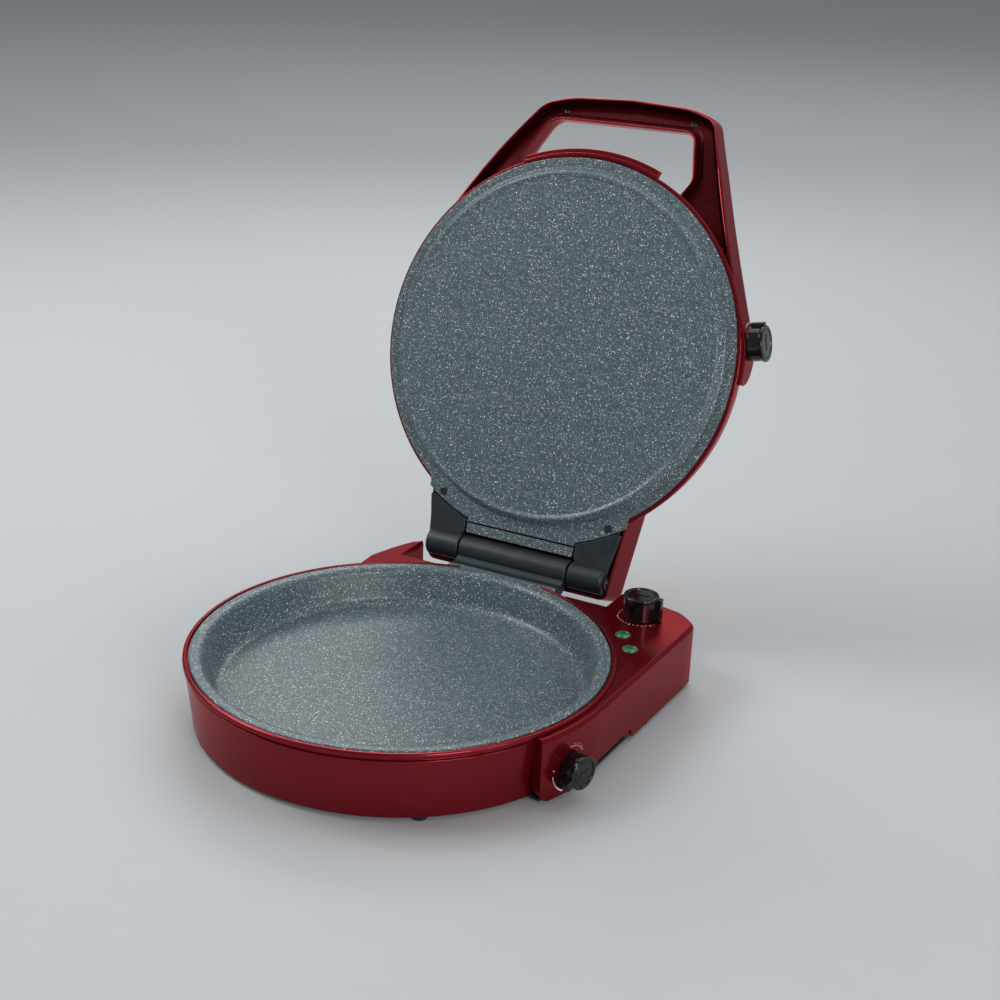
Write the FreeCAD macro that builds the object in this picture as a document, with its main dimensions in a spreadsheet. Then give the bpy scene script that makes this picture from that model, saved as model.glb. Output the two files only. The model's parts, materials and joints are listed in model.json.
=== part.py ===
import FreeCAD, Part
import math
import os
import Sketcher
from FreeCAD import Placement, Rotation, Vector

# Electric pizza maker with a deep lower pan, a hinged lid that carries a second plate, and a raised
# front handle. Pieces are drawn about the centre of the round pan on the table, +Y to the hinge and
# +Z up. Lid pieces are drawn with the lid shut and then swung open about the hinge pin. Every piece
# is then moved so that the middle of the whole outline stands at the origin.

doc = FreeCAD.newDocument("pizza_maker")
sheet = doc.addObject("Spreadsheet::Sheet", "Dimensions")

# Driving dimensions in millimetres and degrees
SIZES = (
    ("foot_height", 3.0), ("foot_radius", 7.0), ("foot_bearing", 53.0), ("foot_inset", 9.0),
    ("shell_wall", 2.5), ("fit_gap", 0.3), ("hole_gap", 0.05), ("rim_height", 55.0),
    ("rim_radius", 155.5), ("rim_gap", 1.2), ("flange_width", 10.5), ("sheet_thickness", 3.0),
    ("lip_width", 3.2), ("groove_depth", 1.0), ("closing_gap", 0.6), ("tub_step", 2.7),
    ("tub_draft", 4.7), ("ledge_width", 4.7), ("edge_chamfer", 1.6), ("pan_depth", 29.0),
    ("pan_draft_in", 6.0), ("pan_corner", 6.0), ("lobe_reach", 6.1), ("lobe_angle", 23.5),
    ("lobe_overlap", 18.0), ("deck_flare", 3.0), ("deck_reach", 24.5), ("corner_length", 32.0),
    ("corner_width", 31.0), ("corner_round", 8.8), ("tail_half_width", 96.0), ("tail_cut", 2.5),
    ("tail_width", 21.5), ("tail_start", 121.0), ("tail_overhang", 10.0), ("shelf_height", 5.0),
    ("skirt_lift", 6.0), ("skirt_length", 56.0), ("cover_thickness", 2.0), ("boss_radius", 5.5),
    ("boss_height", 13.0), ("screw_radius", 1.5), ("head_radius", 3.0), ("head_height", 2.0),
    ("small_head_radius", 2.55), ("hinge_height", 59.5), ("barrel_radius", 11.5),
    ("pin_radius", 3.0), ("pin_overhang", 2.0), ("open_angle", 108.0), ("knuckle_half", 50.0),
    ("knuckle_gap", 1.5), ("knuckle_screw_pitch", 35.0), ("ear_width", 31.0), ("ear_flare", 6.5),
    ("ear_thickness", 4.0), ("web_depth", 8.5), ("tab_reach", 2.0), ("bead_margin", 8.0),
    ("bead_lean", 5.0), ("bead_slope", 4.5), ("bead_height", 6.6), ("plate_step", 5.1),
    ("plate_grow", 6.5), ("tongue_reach", 4.0), ("line_reach", 1.5), ("plate_screw_x", 77.0),
    ("plate_screw_inset", 18.5), ("plate_head", 4.0), ("lid_wall_step", 1.5),
    ("lid_lip_width", 2.8), ("lid_wall_height", 26.0), ("lid_height", 36.0), ("lid_round", 16.0),
    ("lid_crown", 4.5), ("lid_lobe_reach", 3.9), ("lid_lobe_end", 4.0),
    ("lid_lobe_height", 29.7), ("lid_lobe_round", 18.0), ("hood_lift", 5.0),
    ("hood_overhang", 16.5), ("hood_front_half", 94.0), ("hood_back_half", 88.0),
    ("hood_length", 78.5), ("hood_corner", 8.0), ("arm_start", 47.0), ("arm_side", 152.0),
    ("elbow_side", 102.0), ("elbow_front", 160.0), ("tip_side", 80.0), ("tip_front", 203.0),
    ("handle_front", 216.0), ("handle_rise", 61.7), ("handle_sag", 5.2), ("handle_bow", 11.7),
    ("handle_depth", 28.0), ("arm_width", 21.0), ("grip_width", 24.5), ("window_half", 64.0),
    ("handle_screw_x", 58.9), ("cover_recess", 4.0), ("strip_half", 61.0), ("strip_height", 7.0),
    ("strip_reach", 5.4), ("lower_knob_angle", 13.7), ("upper_knob_angle", 10.5),
    ("lower_knob_height", 22.5), ("upper_knob_height", 71.5), ("lower_knob_radius", 12.5),
    ("upper_knob_radius", 14.5), ("lower_knob_length", 12.0), ("upper_knob_length", 14.5),
    ("knob_standoff", 1.0), ("knob_groove", 1.2), ("lower_setback", 1.6), ("upper_setback", 6.0),
    ("thermostat_depth", 12.0), ("thermostat_width", 18.2), ("thermostat_height", 13.6),
    ("shaft_radius", 3.0), ("timer_in", 42.5), ("timer_forward", 29.0), ("timer_radius", 14.0),
    ("timer_length", 18.5), ("timer_case", 29.0), ("timer_case_height", 17.0),
    ("lens_radius", 5.0), ("lens_height", 1.6), ("power_lens_in", 25.0),
    ("power_lens_forward", 87.0), ("heat_lens_in", 40.0), ("heat_lens_forward", 67.0),
    ("element_ring", 96.0), ("element_radius", 3.5), ("element_open", 15.0),
    ("element_leg", 11.9), ("shield_radius", 128.0), ("shield_thickness", 0.8),
    ("inlet_in", 51.0), ("inlet_height", 18.0), ("inlet_width", 26.0), ("inlet_tall", 17.0),
    ("inlet_depth", 20.0), ("inlet_ear", 7.0), ("vent_length", 48.0), ("middle_right", 9.1),
    ("middle_back", 114.2),
)


class Size:
    """A number together with the sheet expression that it follows."""

    def __init__(self, value, text):
        self.value = float(value)
        self.text = text

    def __add__(self, other):
        other = as_size(other)
        return Size(self.value + other.value, "(%s + %s)" % (self.text, other.text))

    def __sub__(self, other):
        other = as_size(other)
        return Size(self.value - other.value, "(%s - %s)" % (self.text, other.text))

    def __mul__(self, other):
        other = as_size(other)
        return Size(self.value * other.value, "(%s * %s)" % (self.text, other.text))

    def __truediv__(self, other):
        other = as_size(other)
        return Size(self.value / other.value, "(%s / %s)" % (self.text, other.text))

    def __radd__(self, other):
        return as_size(other) + self

    def __rsub__(self, other):
        return as_size(other) - self

    def __rmul__(self, other):
        return as_size(other) * self

    def __neg__(self):
        return Size(-self.value, "(0 - %s)" % self.text)


def as_size(number):
    if isinstance(number, Size):
        return number
    text = "%.9g" % number
    return Size(number, "(0 - %.9g)" % -number if number < 0 else text)


def cosine(angle):
    return Size(math.cos(math.radians(angle.value)), "cos(%s)" % angle.text)


def sine(angle):
    return Size(math.sin(math.radians(angle.value)), "sin(%s)" % angle.text)


def circle_x(radius, other):
    """The other coordinate of the point where a line meets a circle about the origin."""
    rest = radius * radius - other * other
    return Size(math.sqrt(rest.value), "sqrt(%s)" % rest.text)


class Dimensions:
    """The sheet's cells by name."""

    def __init__(self):
        for row, (name, value) in enumerate(SIZES, start=1):
            sheet.set("A%d" % row, name)
            sheet.set("B%d" % row, "%g" % value)
            sheet.setAlias("B%d" % row, name)
            setattr(self, name, Size(value, "Dimensions.%s" % name))


d = Dimensions()
doc.recompute()
zero = as_size(0)
nodes = []
STANDING = Placement(Vector(-d.middle_right.value, -d.middle_back.value, 0), Rotation())


def bind(target, prop, amount):
    amount = as_size(amount)
    target.setExpression(prop, amount.text)


def point(pair):
    return Vector(as_size(pair[0]).value, as_size(pair[1]).value, 0)


def pin_point(sketch, geometry, end, pair):
    """Fix one point of a sketch to its two coordinates."""
    for kind, axis, amount in (("DistanceX", -2, pair[0]), ("DistanceY", -1, pair[1])):
        amount = as_size(amount)
        if abs(amount.value) < 1e-9:
            sketch.addConstraint(Sketcher.Constraint("PointOnObject", geometry, end, axis))
            continue
        index = sketch.addConstraint(Sketcher.Constraint(kind, -1, 1, geometry, end, amount.value))
        sketch.setExpression("Constraints[%d]" % index, amount.text)


def draw(sketch, start, *steps):
    """Draw a closed outline. A step is the next point, or the points an arc passes and ends at.

    A last straight line returns to the start.
    """
    here = start
    ends = []
    for step in steps + (start,):
        arc = isinstance(step[0], tuple)
        goal = step[1] if arc else step
        if arc:
            curve = Part.Arc(point(here), point(step[0]), point(goal))
        else:
            curve = Part.LineSegment(point(here), point(goal))
        index = sketch.addGeometry(curve)
        forward = sketch.getPoint(index, 1).distanceToPoint(point(here)) < 1e-6
        first, last = (1, 2) if forward else (2, 1)
        ends.append((index, first, last))
        pin_point(sketch, index, first, here)
        here = goal
    for (index, _, last), (following, first, _) in zip(ends, ends[1:] + ends[:1]):
        sketch.addConstraint(Sketcher.Constraint("Coincident", index, last, following, first))


def ring(sketch, centre, radius):
    index = sketch.addGeometry(Part.Circle(point(centre), Vector(0, 0, 1), as_size(radius).value))
    pin_point(sketch, index, 3, centre)
    amount = as_size(radius)
    constraint = sketch.addConstraint(Sketcher.Constraint("Radius", index, amount.value))
    sketch.setExpression("Constraints[%d]" % constraint, amount.text)


def new_body(name):
    body = doc.addObject("PartDesign::Body", name)
    body.Label = name
    return body


def keep(shape_object, name, placement=None):
    """Name a finished piece after its file and set it in place."""
    shape_object.Label = name
    shape_object.Placement = STANDING * (placement or shape_object.Placement)
    nodes.append((name, shape_object))
    return shape_object


def sketch_in(body, name, role="XY_Plane", offset=None):
    sketch = body.newObject("Sketcher::SketchObject", name)
    plane = [feature for feature in body.Origin.OriginFeatures if feature.Role == role][0]
    sketch.AttachmentSupport = [(plane, "")]
    sketch.MapMode = "FlatFace"
    if offset is not None:
        bind(sketch, "AttachmentOffset.Base.z", offset)
    return sketch


def pad(body, sketch, length, name, kind="PartDesign::Pad", midplane=False, backwards=False):
    feature = body.newObject(kind, name)
    feature.Profile = sketch
    feature.Midplane = midplane
    feature.Reversed = backwards
    bind(feature, "Length", length)
    return feature


def pocket(body, sketch, length, name, midplane=False, backwards=False):
    return pad(body, sketch, length, name, "PartDesign::Pocket", midplane, backwards)


def spin(body, sketch, name, kind="PartDesign::Revolution"):
    feature = body.newObject(kind, name)
    feature.Profile = sketch
    feature.ReferenceAxis = (sketch, ["V_Axis"])
    feature.Angle = 360
    return feature


def extrusion(sketch, name, length, direction=(0, 0, 1), back=0):
    solid = doc.addObject("Part::Extrusion", name)
    solid.Base = sketch
    solid.DirMode = "Custom"
    solid.Dir = Vector(*direction)
    solid.Solid = True
    bind(solid, "LengthFwd", length)
    bind(solid, "LengthRev", back)
    return solid


def combine(kind, name, first, second):
    solid = doc.addObject(kind, name)
    solid.Base = first
    solid.Tool = second
    return solid


def cut(name, first, second):
    return combine("Part::Cut", name, first, second)


def common(name, first, second):
    return combine("Part::Common", name, first, second)


def join(name, *parts):
    solid = doc.addObject("Part::MultiFuse", name)
    solid.Shapes = list(parts)
    return solid


def gather(name, *parts):
    group = doc.addObject("Part::Compound", name)
    group.Links = list(parts)
    return group


def cylinder(name, radius, height, placement=None):
    solid = doc.addObject("Part::Cylinder", name)
    bind(solid, "Radius", radius)
    bind(solid, "Height", height)
    if placement is not None:
        solid.Placement = placement
    return solid


def box(name, length, width, height, placement=None):
    solid = doc.addObject("Part::Box", name)
    bind(solid, "Length", length)
    bind(solid, "Width", width)
    bind(solid, "Height", height)
    if placement is not None:
        solid.Placement = placement
    return solid


def at(x, y, z, rotation=None):
    place = Vector(as_size(x).value, as_size(y).value, as_size(z).value)
    return Placement(place, rotation or Rotation())


# Levels and radii that follow from the driving dimensions
deck_top = d.rim_height - d.sheet_thickness
ledge_height = d.rim_height - d.sheet_thickness
deck_inside = deck_top - d.shell_wall
floor_top = d.rim_height - d.pan_depth
floor_bottom = floor_top - d.sheet_thickness
lip_inside = d.rim_radius + d.rim_gap
lip_outside = lip_inside + d.lip_width
tub_top = d.rim_radius + d.tub_step
tub_bottom = tub_top - d.tub_draft
tub_inside = d.rim_radius - d.ledge_width
lobe_radius = lip_outside + d.lobe_reach
deck_side = lobe_radius + d.deck_flare
deck_back = d.rim_radius + d.deck_reach
tail_front = d.rim_radius - d.tail_cut
tail_outer = d.tail_half_width + d.tail_width
tail_end = deck_back + d.tail_overhang
pan_wall_top = d.rim_radius - d.flange_width
pan_wall_bottom = pan_wall_top - d.pan_draft_in
tab_back = d.rim_radius + d.tab_reach
knuckle_bottom = ledge_height - d.web_depth
ear_near = d.knuckle_half + d.knuckle_gap
ear_outer = ear_near + d.ear_width
ear_wide = ear_outer + d.ear_flare
plate_face = d.rim_height + d.closing_gap
plate_back = plate_face + d.sheet_thickness
plate_edge = d.rim_radius + d.plate_grow
tongue_back = plate_edge + d.tongue_reach
plate_screw_y = d.rim_radius - d.plate_screw_inset - d.groove_depth / 2
bead_outer = d.rim_radius - d.bead_margin
bead_crest = bead_outer - d.bead_lean
bead_inner = bead_crest - d.bead_slope
lid_base = plate_back + d.fit_gap
lid_wall = d.rim_radius + d.lid_wall_step
lid_lip_outside = d.rim_radius + d.fit_gap + d.lid_lip_width
lid_lobe_radius = lid_lip_outside + d.lid_lobe_reach
lid_shoulder = lid_wall - d.lid_round
lid_shoulder_height = plate_face + d.lid_wall_height
lid_top = plate_face + d.lid_height
hood_bottom = plate_face + d.hood_lift
hood_back = deck_back + d.hood_overhang
hood_front = hood_back - d.hood_length
strip_radius = lid_lip_outside + d.strip_reach
screw_hole = d.screw_radius + d.hole_gap
shaft_hole = d.shaft_radius + d.hole_gap
timer_x = deck_side - d.timer_in
timer_y = deck_back - d.timer_forward
LENSES = (
    ("power_lens", deck_side - d.power_lens_in, deck_back - d.power_lens_forward),
    ("heat_lens", deck_side - d.heat_lens_in, deck_back - d.heat_lens_forward),
)
inlet_x = deck_side - d.inlet_in
inlet_screw_x = d.inlet_width / 2 - d.fit_gap + d.inlet_ear / 2
UP_TO_FRONT = Rotation(Vector(1, 0, 0), 90)
ALONG_X = Rotation(Vector(0, 1, 0), 90)
SIDE_VIEW = Rotation(Vector(1, 1, 1), 120)
HINGE = Vector(0, deck_back.value, d.hinge_height.value)
LID_OPEN = Placement(Vector(), Rotation(Vector(1, 0, 0), -d.open_angle.value), HINGE)


def deck_outline(sketch, inset):
    """Plan of the side panel, the rear platform and the left tail around the hinge recess."""
    inset = as_size(inset)
    outer = lobe_radius - inset
    back = deck_back - inset
    side = deck_side - inset
    recess_side = d.tail_half_width + inset
    recess_front = tail_front - inset
    tail_side = tail_outer - inset
    start = (outer * cosine(d.lobe_angle), inset - outer * sine(d.lobe_angle))
    inner = (start[0] - d.lobe_overlap, start[1] + d.lobe_overlap / 4)
    draw(sketch, inner, start,
         ((outer * cosine(d.lobe_angle / 2), inset / 2 - outer * sine(d.lobe_angle / 2)),
          (outer, as_size(0))),
         (side, deck_back - d.corner_length),
         ((side - d.corner_round - inset * 0.3, back - d.corner_round - inset * 0.3),
          (deck_side - d.corner_width, back)),
         (recess_side, back),
         (recess_side, recess_front),
         (-recess_side, recess_front),
         (-recess_side, tail_end - inset * 2),
         ((inset / 2 - d.tail_half_width - d.edge_chamfer * 10, tail_end - d.edge_chamfer * 15),
          (-tail_side, d.tail_start + inset)),
         (d.lobe_overlap - tail_side, d.tail_start - d.lobe_overlap / 2))


def make_base_housing():
    """Round tub with a lipped rim, the side panel with its platform, and the hinge recess."""
    body = new_body("base_housing")
    deck = sketch_in(body, "base_deck_plan", offset=d.foot_height)
    deck_outline(deck, 0)
    block = pad(body, deck, deck_top - d.foot_height, "base_deck")
    doc.recompute()
    top_edges = [
        "Edge%d" % number for number, edge in enumerate(block.Shape.Edges, start=1)
        if edge.BoundBox.ZMin > deck_top.value - 0.01
    ]
    chamfer = body.newObject("PartDesign::Chamfer", "base_deck_edge")
    chamfer.Base = (block, top_edges)
    bind(chamfer, "Size", d.edge_chamfer)
    section = sketch_in(body, "base_tub_section", "XZ_Plane")
    bottom = d.foot_height
    foot = tub_bottom
    groove_low = ledge_height - d.edge_chamfer
    throat = tub_top - d.groove_depth
    draw(section, (zero, bottom), (foot - d.edge_chamfer * 2, bottom),
         ((foot - d.edge_chamfer * 0.586, bottom + d.edge_chamfer * 0.586),
          (foot, bottom + d.edge_chamfer * 2)),
         (tub_top, groove_low - d.groove_depth),
         (throat, groove_low), (throat, groove_low + d.groove_depth / 2),
         (lip_outside - d.groove_depth / 2, groove_low + d.groove_depth),
         ((lip_outside, (groove_low + d.rim_height) / 2),
          (lip_outside - d.groove_depth, d.rim_height)),
         (lip_inside, d.rim_height), (lip_inside, ledge_height), (zero, ledge_height))
    spin(body, section, "base_tub")
    recess = sketch_in(body, "base_recess_plan", offset=d.foot_height + d.shelf_height)
    rectangle(recess, -d.tail_half_width, tail_front, d.tail_half_width, tail_end)
    pocket(body, recess, d.rim_height, "base_recess", backwards=True)
    shelf = sketch_in(body, "base_shelf_plan", offset=d.foot_height)
    edge = d.edge_chamfer
    draw(shelf, (-d.tail_half_width - edge, tail_front - edge),
         (d.tail_half_width + edge, tail_front - edge),
         (d.tail_half_width + edge, deck_back - edge * 4),
         ((as_size(0), deck_back + edge), (-d.tail_half_width - edge, deck_back - edge * 4)))
    pad(body, shelf, d.shelf_height, "base_shelf")
    well = sketch_in(body, "base_inside_plan", offset=d.foot_height)
    deck_outline(well, d.shell_wall)
    pocket(body, well, deck_inside - d.foot_height, "base_deck_inside", backwards=True)
    tub = sketch_in(body, "base_tub_inside_plan", offset=d.foot_height)
    ring(tub, (0, 0), tub_inside)
    pocket(body, tub, deck_inside - d.foot_height, "base_tub_inside", backwards=True)
    mouth = sketch_in(body, "base_mouth_plan", offset=ledge_height)
    ring(mouth, (0, 0), tub_inside + d.groove_depth)
    pocket(body, mouth, d.shell_wall * 2, "base_mouth")
    seat = sketch_in(body, "base_knuckle_plan", offset=knuckle_bottom)
    half = d.knuckle_half + d.knuckle_gap
    rectangle(seat, -half, tail_front - d.shell_wall * 2, half, tail_end)
    pocket(body, seat, d.rim_height, "base_knuckle_seat", backwards=True)
    bosses = sketch_in(body, "base_boss_plan", offset=d.foot_height + d.cover_thickness + d.fit_gap)
    for place in BOSSES:
        ring(bosses, place, d.boss_radius)
    pad(body, bosses, d.boss_height, "base_bosses")
    threads = sketch_in(body, "base_thread_plan", offset=d.foot_height)
    for place in BOSSES:
        ring(threads, place, screw_hole)
    pocket(body, threads, d.boss_height, "base_threads", backwards=True)
    holes = sketch_in(body, "base_top_hole_plan", offset=deck_top)
    ring(holes, (timer_x, timer_y), shaft_hole)
    for _, x, y in LENSES:
        ring(holes, (x, y), d.lens_radius + d.hole_gap)
    pocket(body, holes, d.shell_wall * 2, "base_top_holes")
    skirt = sketch_in(body, "base_skirt_side", "YZ_Plane", offset=lobe_radius - d.shell_wall * 3)
    low = d.foot_height - d.skirt_lift
    high = d.foot_height + d.skirt_lift
    draw(skirt, (-d.skirt_lift, low), (d.skirt_length, low), (d.skirt_length, high - d.edge_chamfer),
         (d.skirt_length - d.edge_chamfer, high), (d.edge_chamfer - d.skirt_lift, high),
         (-d.skirt_lift, high - d.edge_chamfer))
    pocket(body, skirt, d.lobe_overlap, "base_skirt_notch", backwards=True)
    port = sketch_in(body, "base_inlet_back", "XZ_Plane", offset=-deck_back - d.shell_wall)
    half_wide = d.inlet_width / 2
    half_tall = d.inlet_tall / 2
    rectangle(port, inlet_x - half_wide, d.inlet_height - half_tall,
              inlet_x + half_wide, d.inlet_height + half_tall)
    pocket(body, port, d.shell_wall * 3, "base_inlet_port", backwards=True)
    screws = sketch_in(body, "base_inlet_screw_back", "XZ_Plane", offset=-deck_back - d.shell_wall)
    for hand in (-1, 1):
        ring(screws, (inlet_x + inlet_screw_x * hand, d.inlet_height), screw_hole)
    pocket(body, screws, d.shell_wall * 3, "base_inlet_screw_holes", backwards=True)
    side_hole = sketch_in(body, "base_knob_hole", "YZ_Plane")
    side_hole.AttachmentOffset = radial_offset(d.lower_knob_angle)
    ring(side_hole, (0, d.lower_knob_height), shaft_hole)
    pocket(body, side_hole, lobe_radius * 2, "base_knob_bore", backwards=True)
    return keep(body, "base_housing")


def rectangle(sketch, left, low, right, high):
    draw(sketch, (left, low), (right, low), (right, high), (left, high))


def radial_offset(angle):
    """Turn a side view so that its normal leaves the pan's centre at the knob's bearing."""
    return Placement(Vector(), Rotation(Vector(0, 1, 0), -angle.value))


def radial(angle, radius, height):
    """Placement whose own Z axis points away from the pan's centre below the +X axis."""
    turn = Rotation(Vector(0, 0, 1), -angle.value) * ALONG_X
    place = Vector(
        radius.value * math.cos(math.radians(angle.value)),
        -radius.value * math.sin(math.radians(angle.value)),
        as_size(height).value,
    )
    return Placement(place, turn)


BOSS_RING = tub_inside - d.boss_radius + d.fit_gap
BOSSES = [
    (BOSS_RING * math.cos(math.radians(angle)), BOSS_RING * math.sin(math.radians(angle)))
    for angle in (-38, -142, 180)
]
BOSSES.append((deck_side - d.shell_wall - d.boss_radius - d.fit_gap * 2, deck_back - d.deck_reach * 3))
for side in (-1, 1):
    BOSSES.append((d.plate_screw_x * side, tail_front - d.shell_wall - d.boss_radius + d.fit_gap))


def screw(name, x, y, z, length, head=None):
    """Pan-head screw that points up, with its head below the given height."""
    head = as_size(head or d.head_radius)
    shank = cylinder(name + "_shank", d.screw_radius, length, at(x, y, z))
    cap = cylinder(name + "_cap", head, d.head_height, at(x, y, as_size(z) - d.head_height))
    slot = box(name + "_slot", head * 1.2, d.screw_radius / 2, d.head_height / 2,
               at(as_size(x) - head * 0.6, as_size(y) - d.screw_radius / 4,
                  as_size(z) - d.head_height))
    return cut(name, join(name + "_body", shank, cap), slot)


FOOT_RING = tub_bottom - d.foot_inset + d.groove_depth * 1.9
FEET = (
    (FOOT_RING * cosine(d.foot_bearing), -FOOT_RING * sine(d.foot_bearing)),
    (-FOOT_RING * cosine(d.foot_bearing), -FOOT_RING * sine(d.foot_bearing)),
    (deck_side - d.foot_radius * 3, deck_back - d.foot_radius * 4.9),
    (d.foot_radius * 1.65 - tail_outer, deck_back - d.foot_radius * 2.3),
)


def make_bottom():
    """Vented bottom cover with its screws, and the four rubber feet."""
    body = new_body("base_bottom_cover")
    plan = sketch_in(body, "cover_plan", offset=d.foot_height)
    deck_outline(plan, d.shell_wall + d.fit_gap)
    pad(body, plan, d.cover_thickness, "cover_sheet")
    disc = sketch_in(body, "cover_disc_plan", offset=d.foot_height)
    ring(disc, (0, 0), tub_inside - d.fit_gap)
    pad(body, disc, d.cover_thickness, "cover_disc")
    recess = sketch_in(body, "cover_recess_plan", offset=d.foot_height)
    rectangle(recess, -d.tail_half_width - d.edge_chamfer - d.fit_gap,
              tail_front - d.shell_wall - d.fit_gap,
              d.tail_half_width + d.edge_chamfer + d.fit_gap, tail_end)
    pocket(body, recess, d.cover_thickness, "cover_recess", backwards=True)
    slot = sketch_in(body, "cover_slot_plan", offset=d.foot_height)
    rectangle(slot, d.vent_length, -d.cover_thickness, d.vent_length * 2, d.cover_thickness)
    first = pocket(body, slot, d.cover_thickness, "cover_slot", backwards=True)
    fan = body.newObject("PartDesign::PolarPattern", "cover_slots")
    fan.Originals = [first]
    fan.Axis = (slot, ["N_Axis"])
    fan.Angle = 360
    fan.Occurrences = 12
    body.Tip = fan
    holes = sketch_in(body, "cover_hole_plan", offset=d.foot_height)
    for place in BOSSES:
        ring(holes, place, screw_hole)
    pocket(body, holes, d.cover_thickness, "cover_holes", backwards=True)
    keep(body, "base_bottom_cover")
    screws = [
        screw("bottom_screw_%d" % number, x, y, d.foot_height, d.boss_height - d.fit_gap)
        for number, (x, y) in enumerate(BOSSES, start=1)
    ]
    keep(gather("bottom_screws", *screws), "bottom_screws")
    feet = []
    for number, (x, y) in enumerate(FEET, start=1):
        foot = doc.addObject("Part::Cone", "foot_%d" % number)
        bind(foot, "Radius1", d.foot_radius - d.edge_chamfer)
        bind(foot, "Radius2", d.foot_radius)
        bind(foot, "Height", d.foot_height)
        foot.Placement = at(x, y, 0)
        feet.append(foot)
    keep(gather("rubber_feet", *feet), "rubber_feet")


def make_lower_pan():
    """Deep pressed pan with a rolled flange, and a rear tab for the hinge knuckle."""
    body = new_body("lower_pan")
    section = sketch_in(body, "pan_section", "XZ_Plane")
    thick = d.sheet_thickness
    soft = d.pan_corner
    high = d.rim_height
    draw(section, (zero, floor_top), (pan_wall_bottom - soft, floor_top),
         ((pan_wall_bottom - soft * 0.2, floor_top + soft * 0.3),
          (pan_wall_bottom + soft * 0.3, floor_top + soft)),
         (pan_wall_top, high - soft),
         ((pan_wall_top + soft * 0.32, high - soft * 0.3), (pan_wall_top + soft, high)),
         (d.rim_radius - thick / 2, high),
         ((d.rim_radius - thick * 0.15, high - thick * 0.15), (d.rim_radius, high - thick / 2)),
         (d.rim_radius, ledge_height), (pan_wall_top + soft, ledge_height),
         (pan_wall_top + thick, high - soft - thick / 3),
         (pan_wall_bottom + soft * 0.3 + thick, floor_top + soft - thick / 3),
         ((pan_wall_bottom + thick * 0.8, floor_bottom + soft * 0.4),
          (pan_wall_bottom - soft, floor_bottom)),
         (zero, floor_bottom))
    spin(body, section, "pan_dish")
    tab = sketch_in(body, "pan_tab_plan", offset=ledge_height)
    rectangle(tab, -d.knuckle_half, pan_wall_top + soft, d.knuckle_half, tab_back)
    pad(body, tab, thick, "pan_tab")
    holes = sketch_in(body, "pan_tab_holes", offset=ledge_height)
    for x in KNUCKLE_SCREWS:
        ring(holes, (x, KNUCKLE_SCREW_Y), screw_hole)
    pocket(body, holes, thick * 0.8, "pan_tab_threads", backwards=True)
    keep(body, "lower_pan")


KNUCKLE_SCREWS = [d.knuckle_screw_pitch * step for step in (-1, 0, 1)]
KNUCKLE_SCREW_Y = (tail_front + tab_back - d.edge_chamfer + d.fit_gap) / 2


def barrel_point(angle, radius=None):
    """A point of the hinge barrel seen from the side, with the angle counted up from the back."""
    radius = radius or d.barrel_radius
    turn = math.radians(angle)
    return (deck_back + radius * math.cos(turn), d.hinge_height + radius * math.sin(turn))


def make_hinge():
    """Fixed centre knuckle under the pan's tab, two lid ears, and the pin with its clips."""
    body = new_body("hinge_knuckle")
    side = sketch_in(body, "knuckle_side", "YZ_Plane")
    front = tail_front - d.edge_chamfer
    step = tab_back + d.fit_gap
    draw(side, (front, knuckle_bottom), (step + d.sheet_thickness, knuckle_bottom),
         barrel_point(-115),
         (barrel_point(30), barrel_point(205)),
         (step, ledge_height + d.sheet_thickness / 2), (step, ledge_height), (front, ledge_height))
    pad(body, side, d.knuckle_half * 2, "knuckle_block", midplane=True)
    bore = sketch_in(body, "knuckle_bore_side", "YZ_Plane")
    ring(bore, (deck_back, d.hinge_height), d.pin_radius + d.hole_gap)
    pocket(body, bore, d.knuckle_half * 3, "knuckle_bore", midplane=True)
    holes = sketch_in(body, "knuckle_hole_plan", offset=knuckle_bottom)
    for x in KNUCKLE_SCREWS:
        ring(holes, (x, KNUCKLE_SCREW_Y), screw_hole)
    pocket(body, holes, d.web_depth, "knuckle_holes", backwards=True)
    sinks = sketch_in(body, "knuckle_sink_plan", offset=knuckle_bottom)
    for x in KNUCKLE_SCREWS:
        ring(sinks, (x, KNUCKLE_SCREW_Y), d.small_head_radius + d.fit_gap)
    pocket(body, sinks, d.head_height + d.fit_gap, "knuckle_sinks", backwards=True)
    keep(body, "hinge_knuckle")
    sunk = knuckle_bottom + d.head_height + d.fit_gap
    screws = [
        screw("knuckle_screw_%d" % number, x, KNUCKLE_SCREW_Y, sunk, d.web_depth - d.fit_gap,
              d.small_head_radius)
        for number, x in enumerate(KNUCKLE_SCREWS, start=1)
    ]
    keep(gather("knuckle_screws", *screws), "knuckle_screws")
    pin_half = ear_outer + d.pin_overhang
    pin = cylinder("pin_rod", d.pin_radius, pin_half * 2,
                   Placement(HINGE - Vector(pin_half.value, 0, 0), ALONG_X))
    head = doc.addObject("Part::Chamfer", "hinge_pin")
    head.Base = pin
    head.Edges = [(1, 0.8, 0.8), (3, 0.8, 0.8)]
    keep(head, "hinge_pin")
    clips = []
    for name, x in (("left", -ear_outer - d.fit_gap - d.groove_depth), ("right", ear_outer + d.fit_gap)):
        seat = Placement(HINGE + Vector(x.value, 0, 0), ALONG_X)
        disc = cylinder("clip_disc_" + name, d.pin_radius * 2, d.groove_depth, seat)
        bore = cylinder("clip_bore_" + name, d.pin_radius + d.hole_gap, d.groove_depth, seat)
        clips.append(cut("clip_" + name, disc, bore))
    keep(gather("hinge_clips", *clips), "hinge_clips")
    for name, hand in (("left", -1), ("right", 1)):
        make_ear(name + "_hinge_ear", hand)


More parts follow.
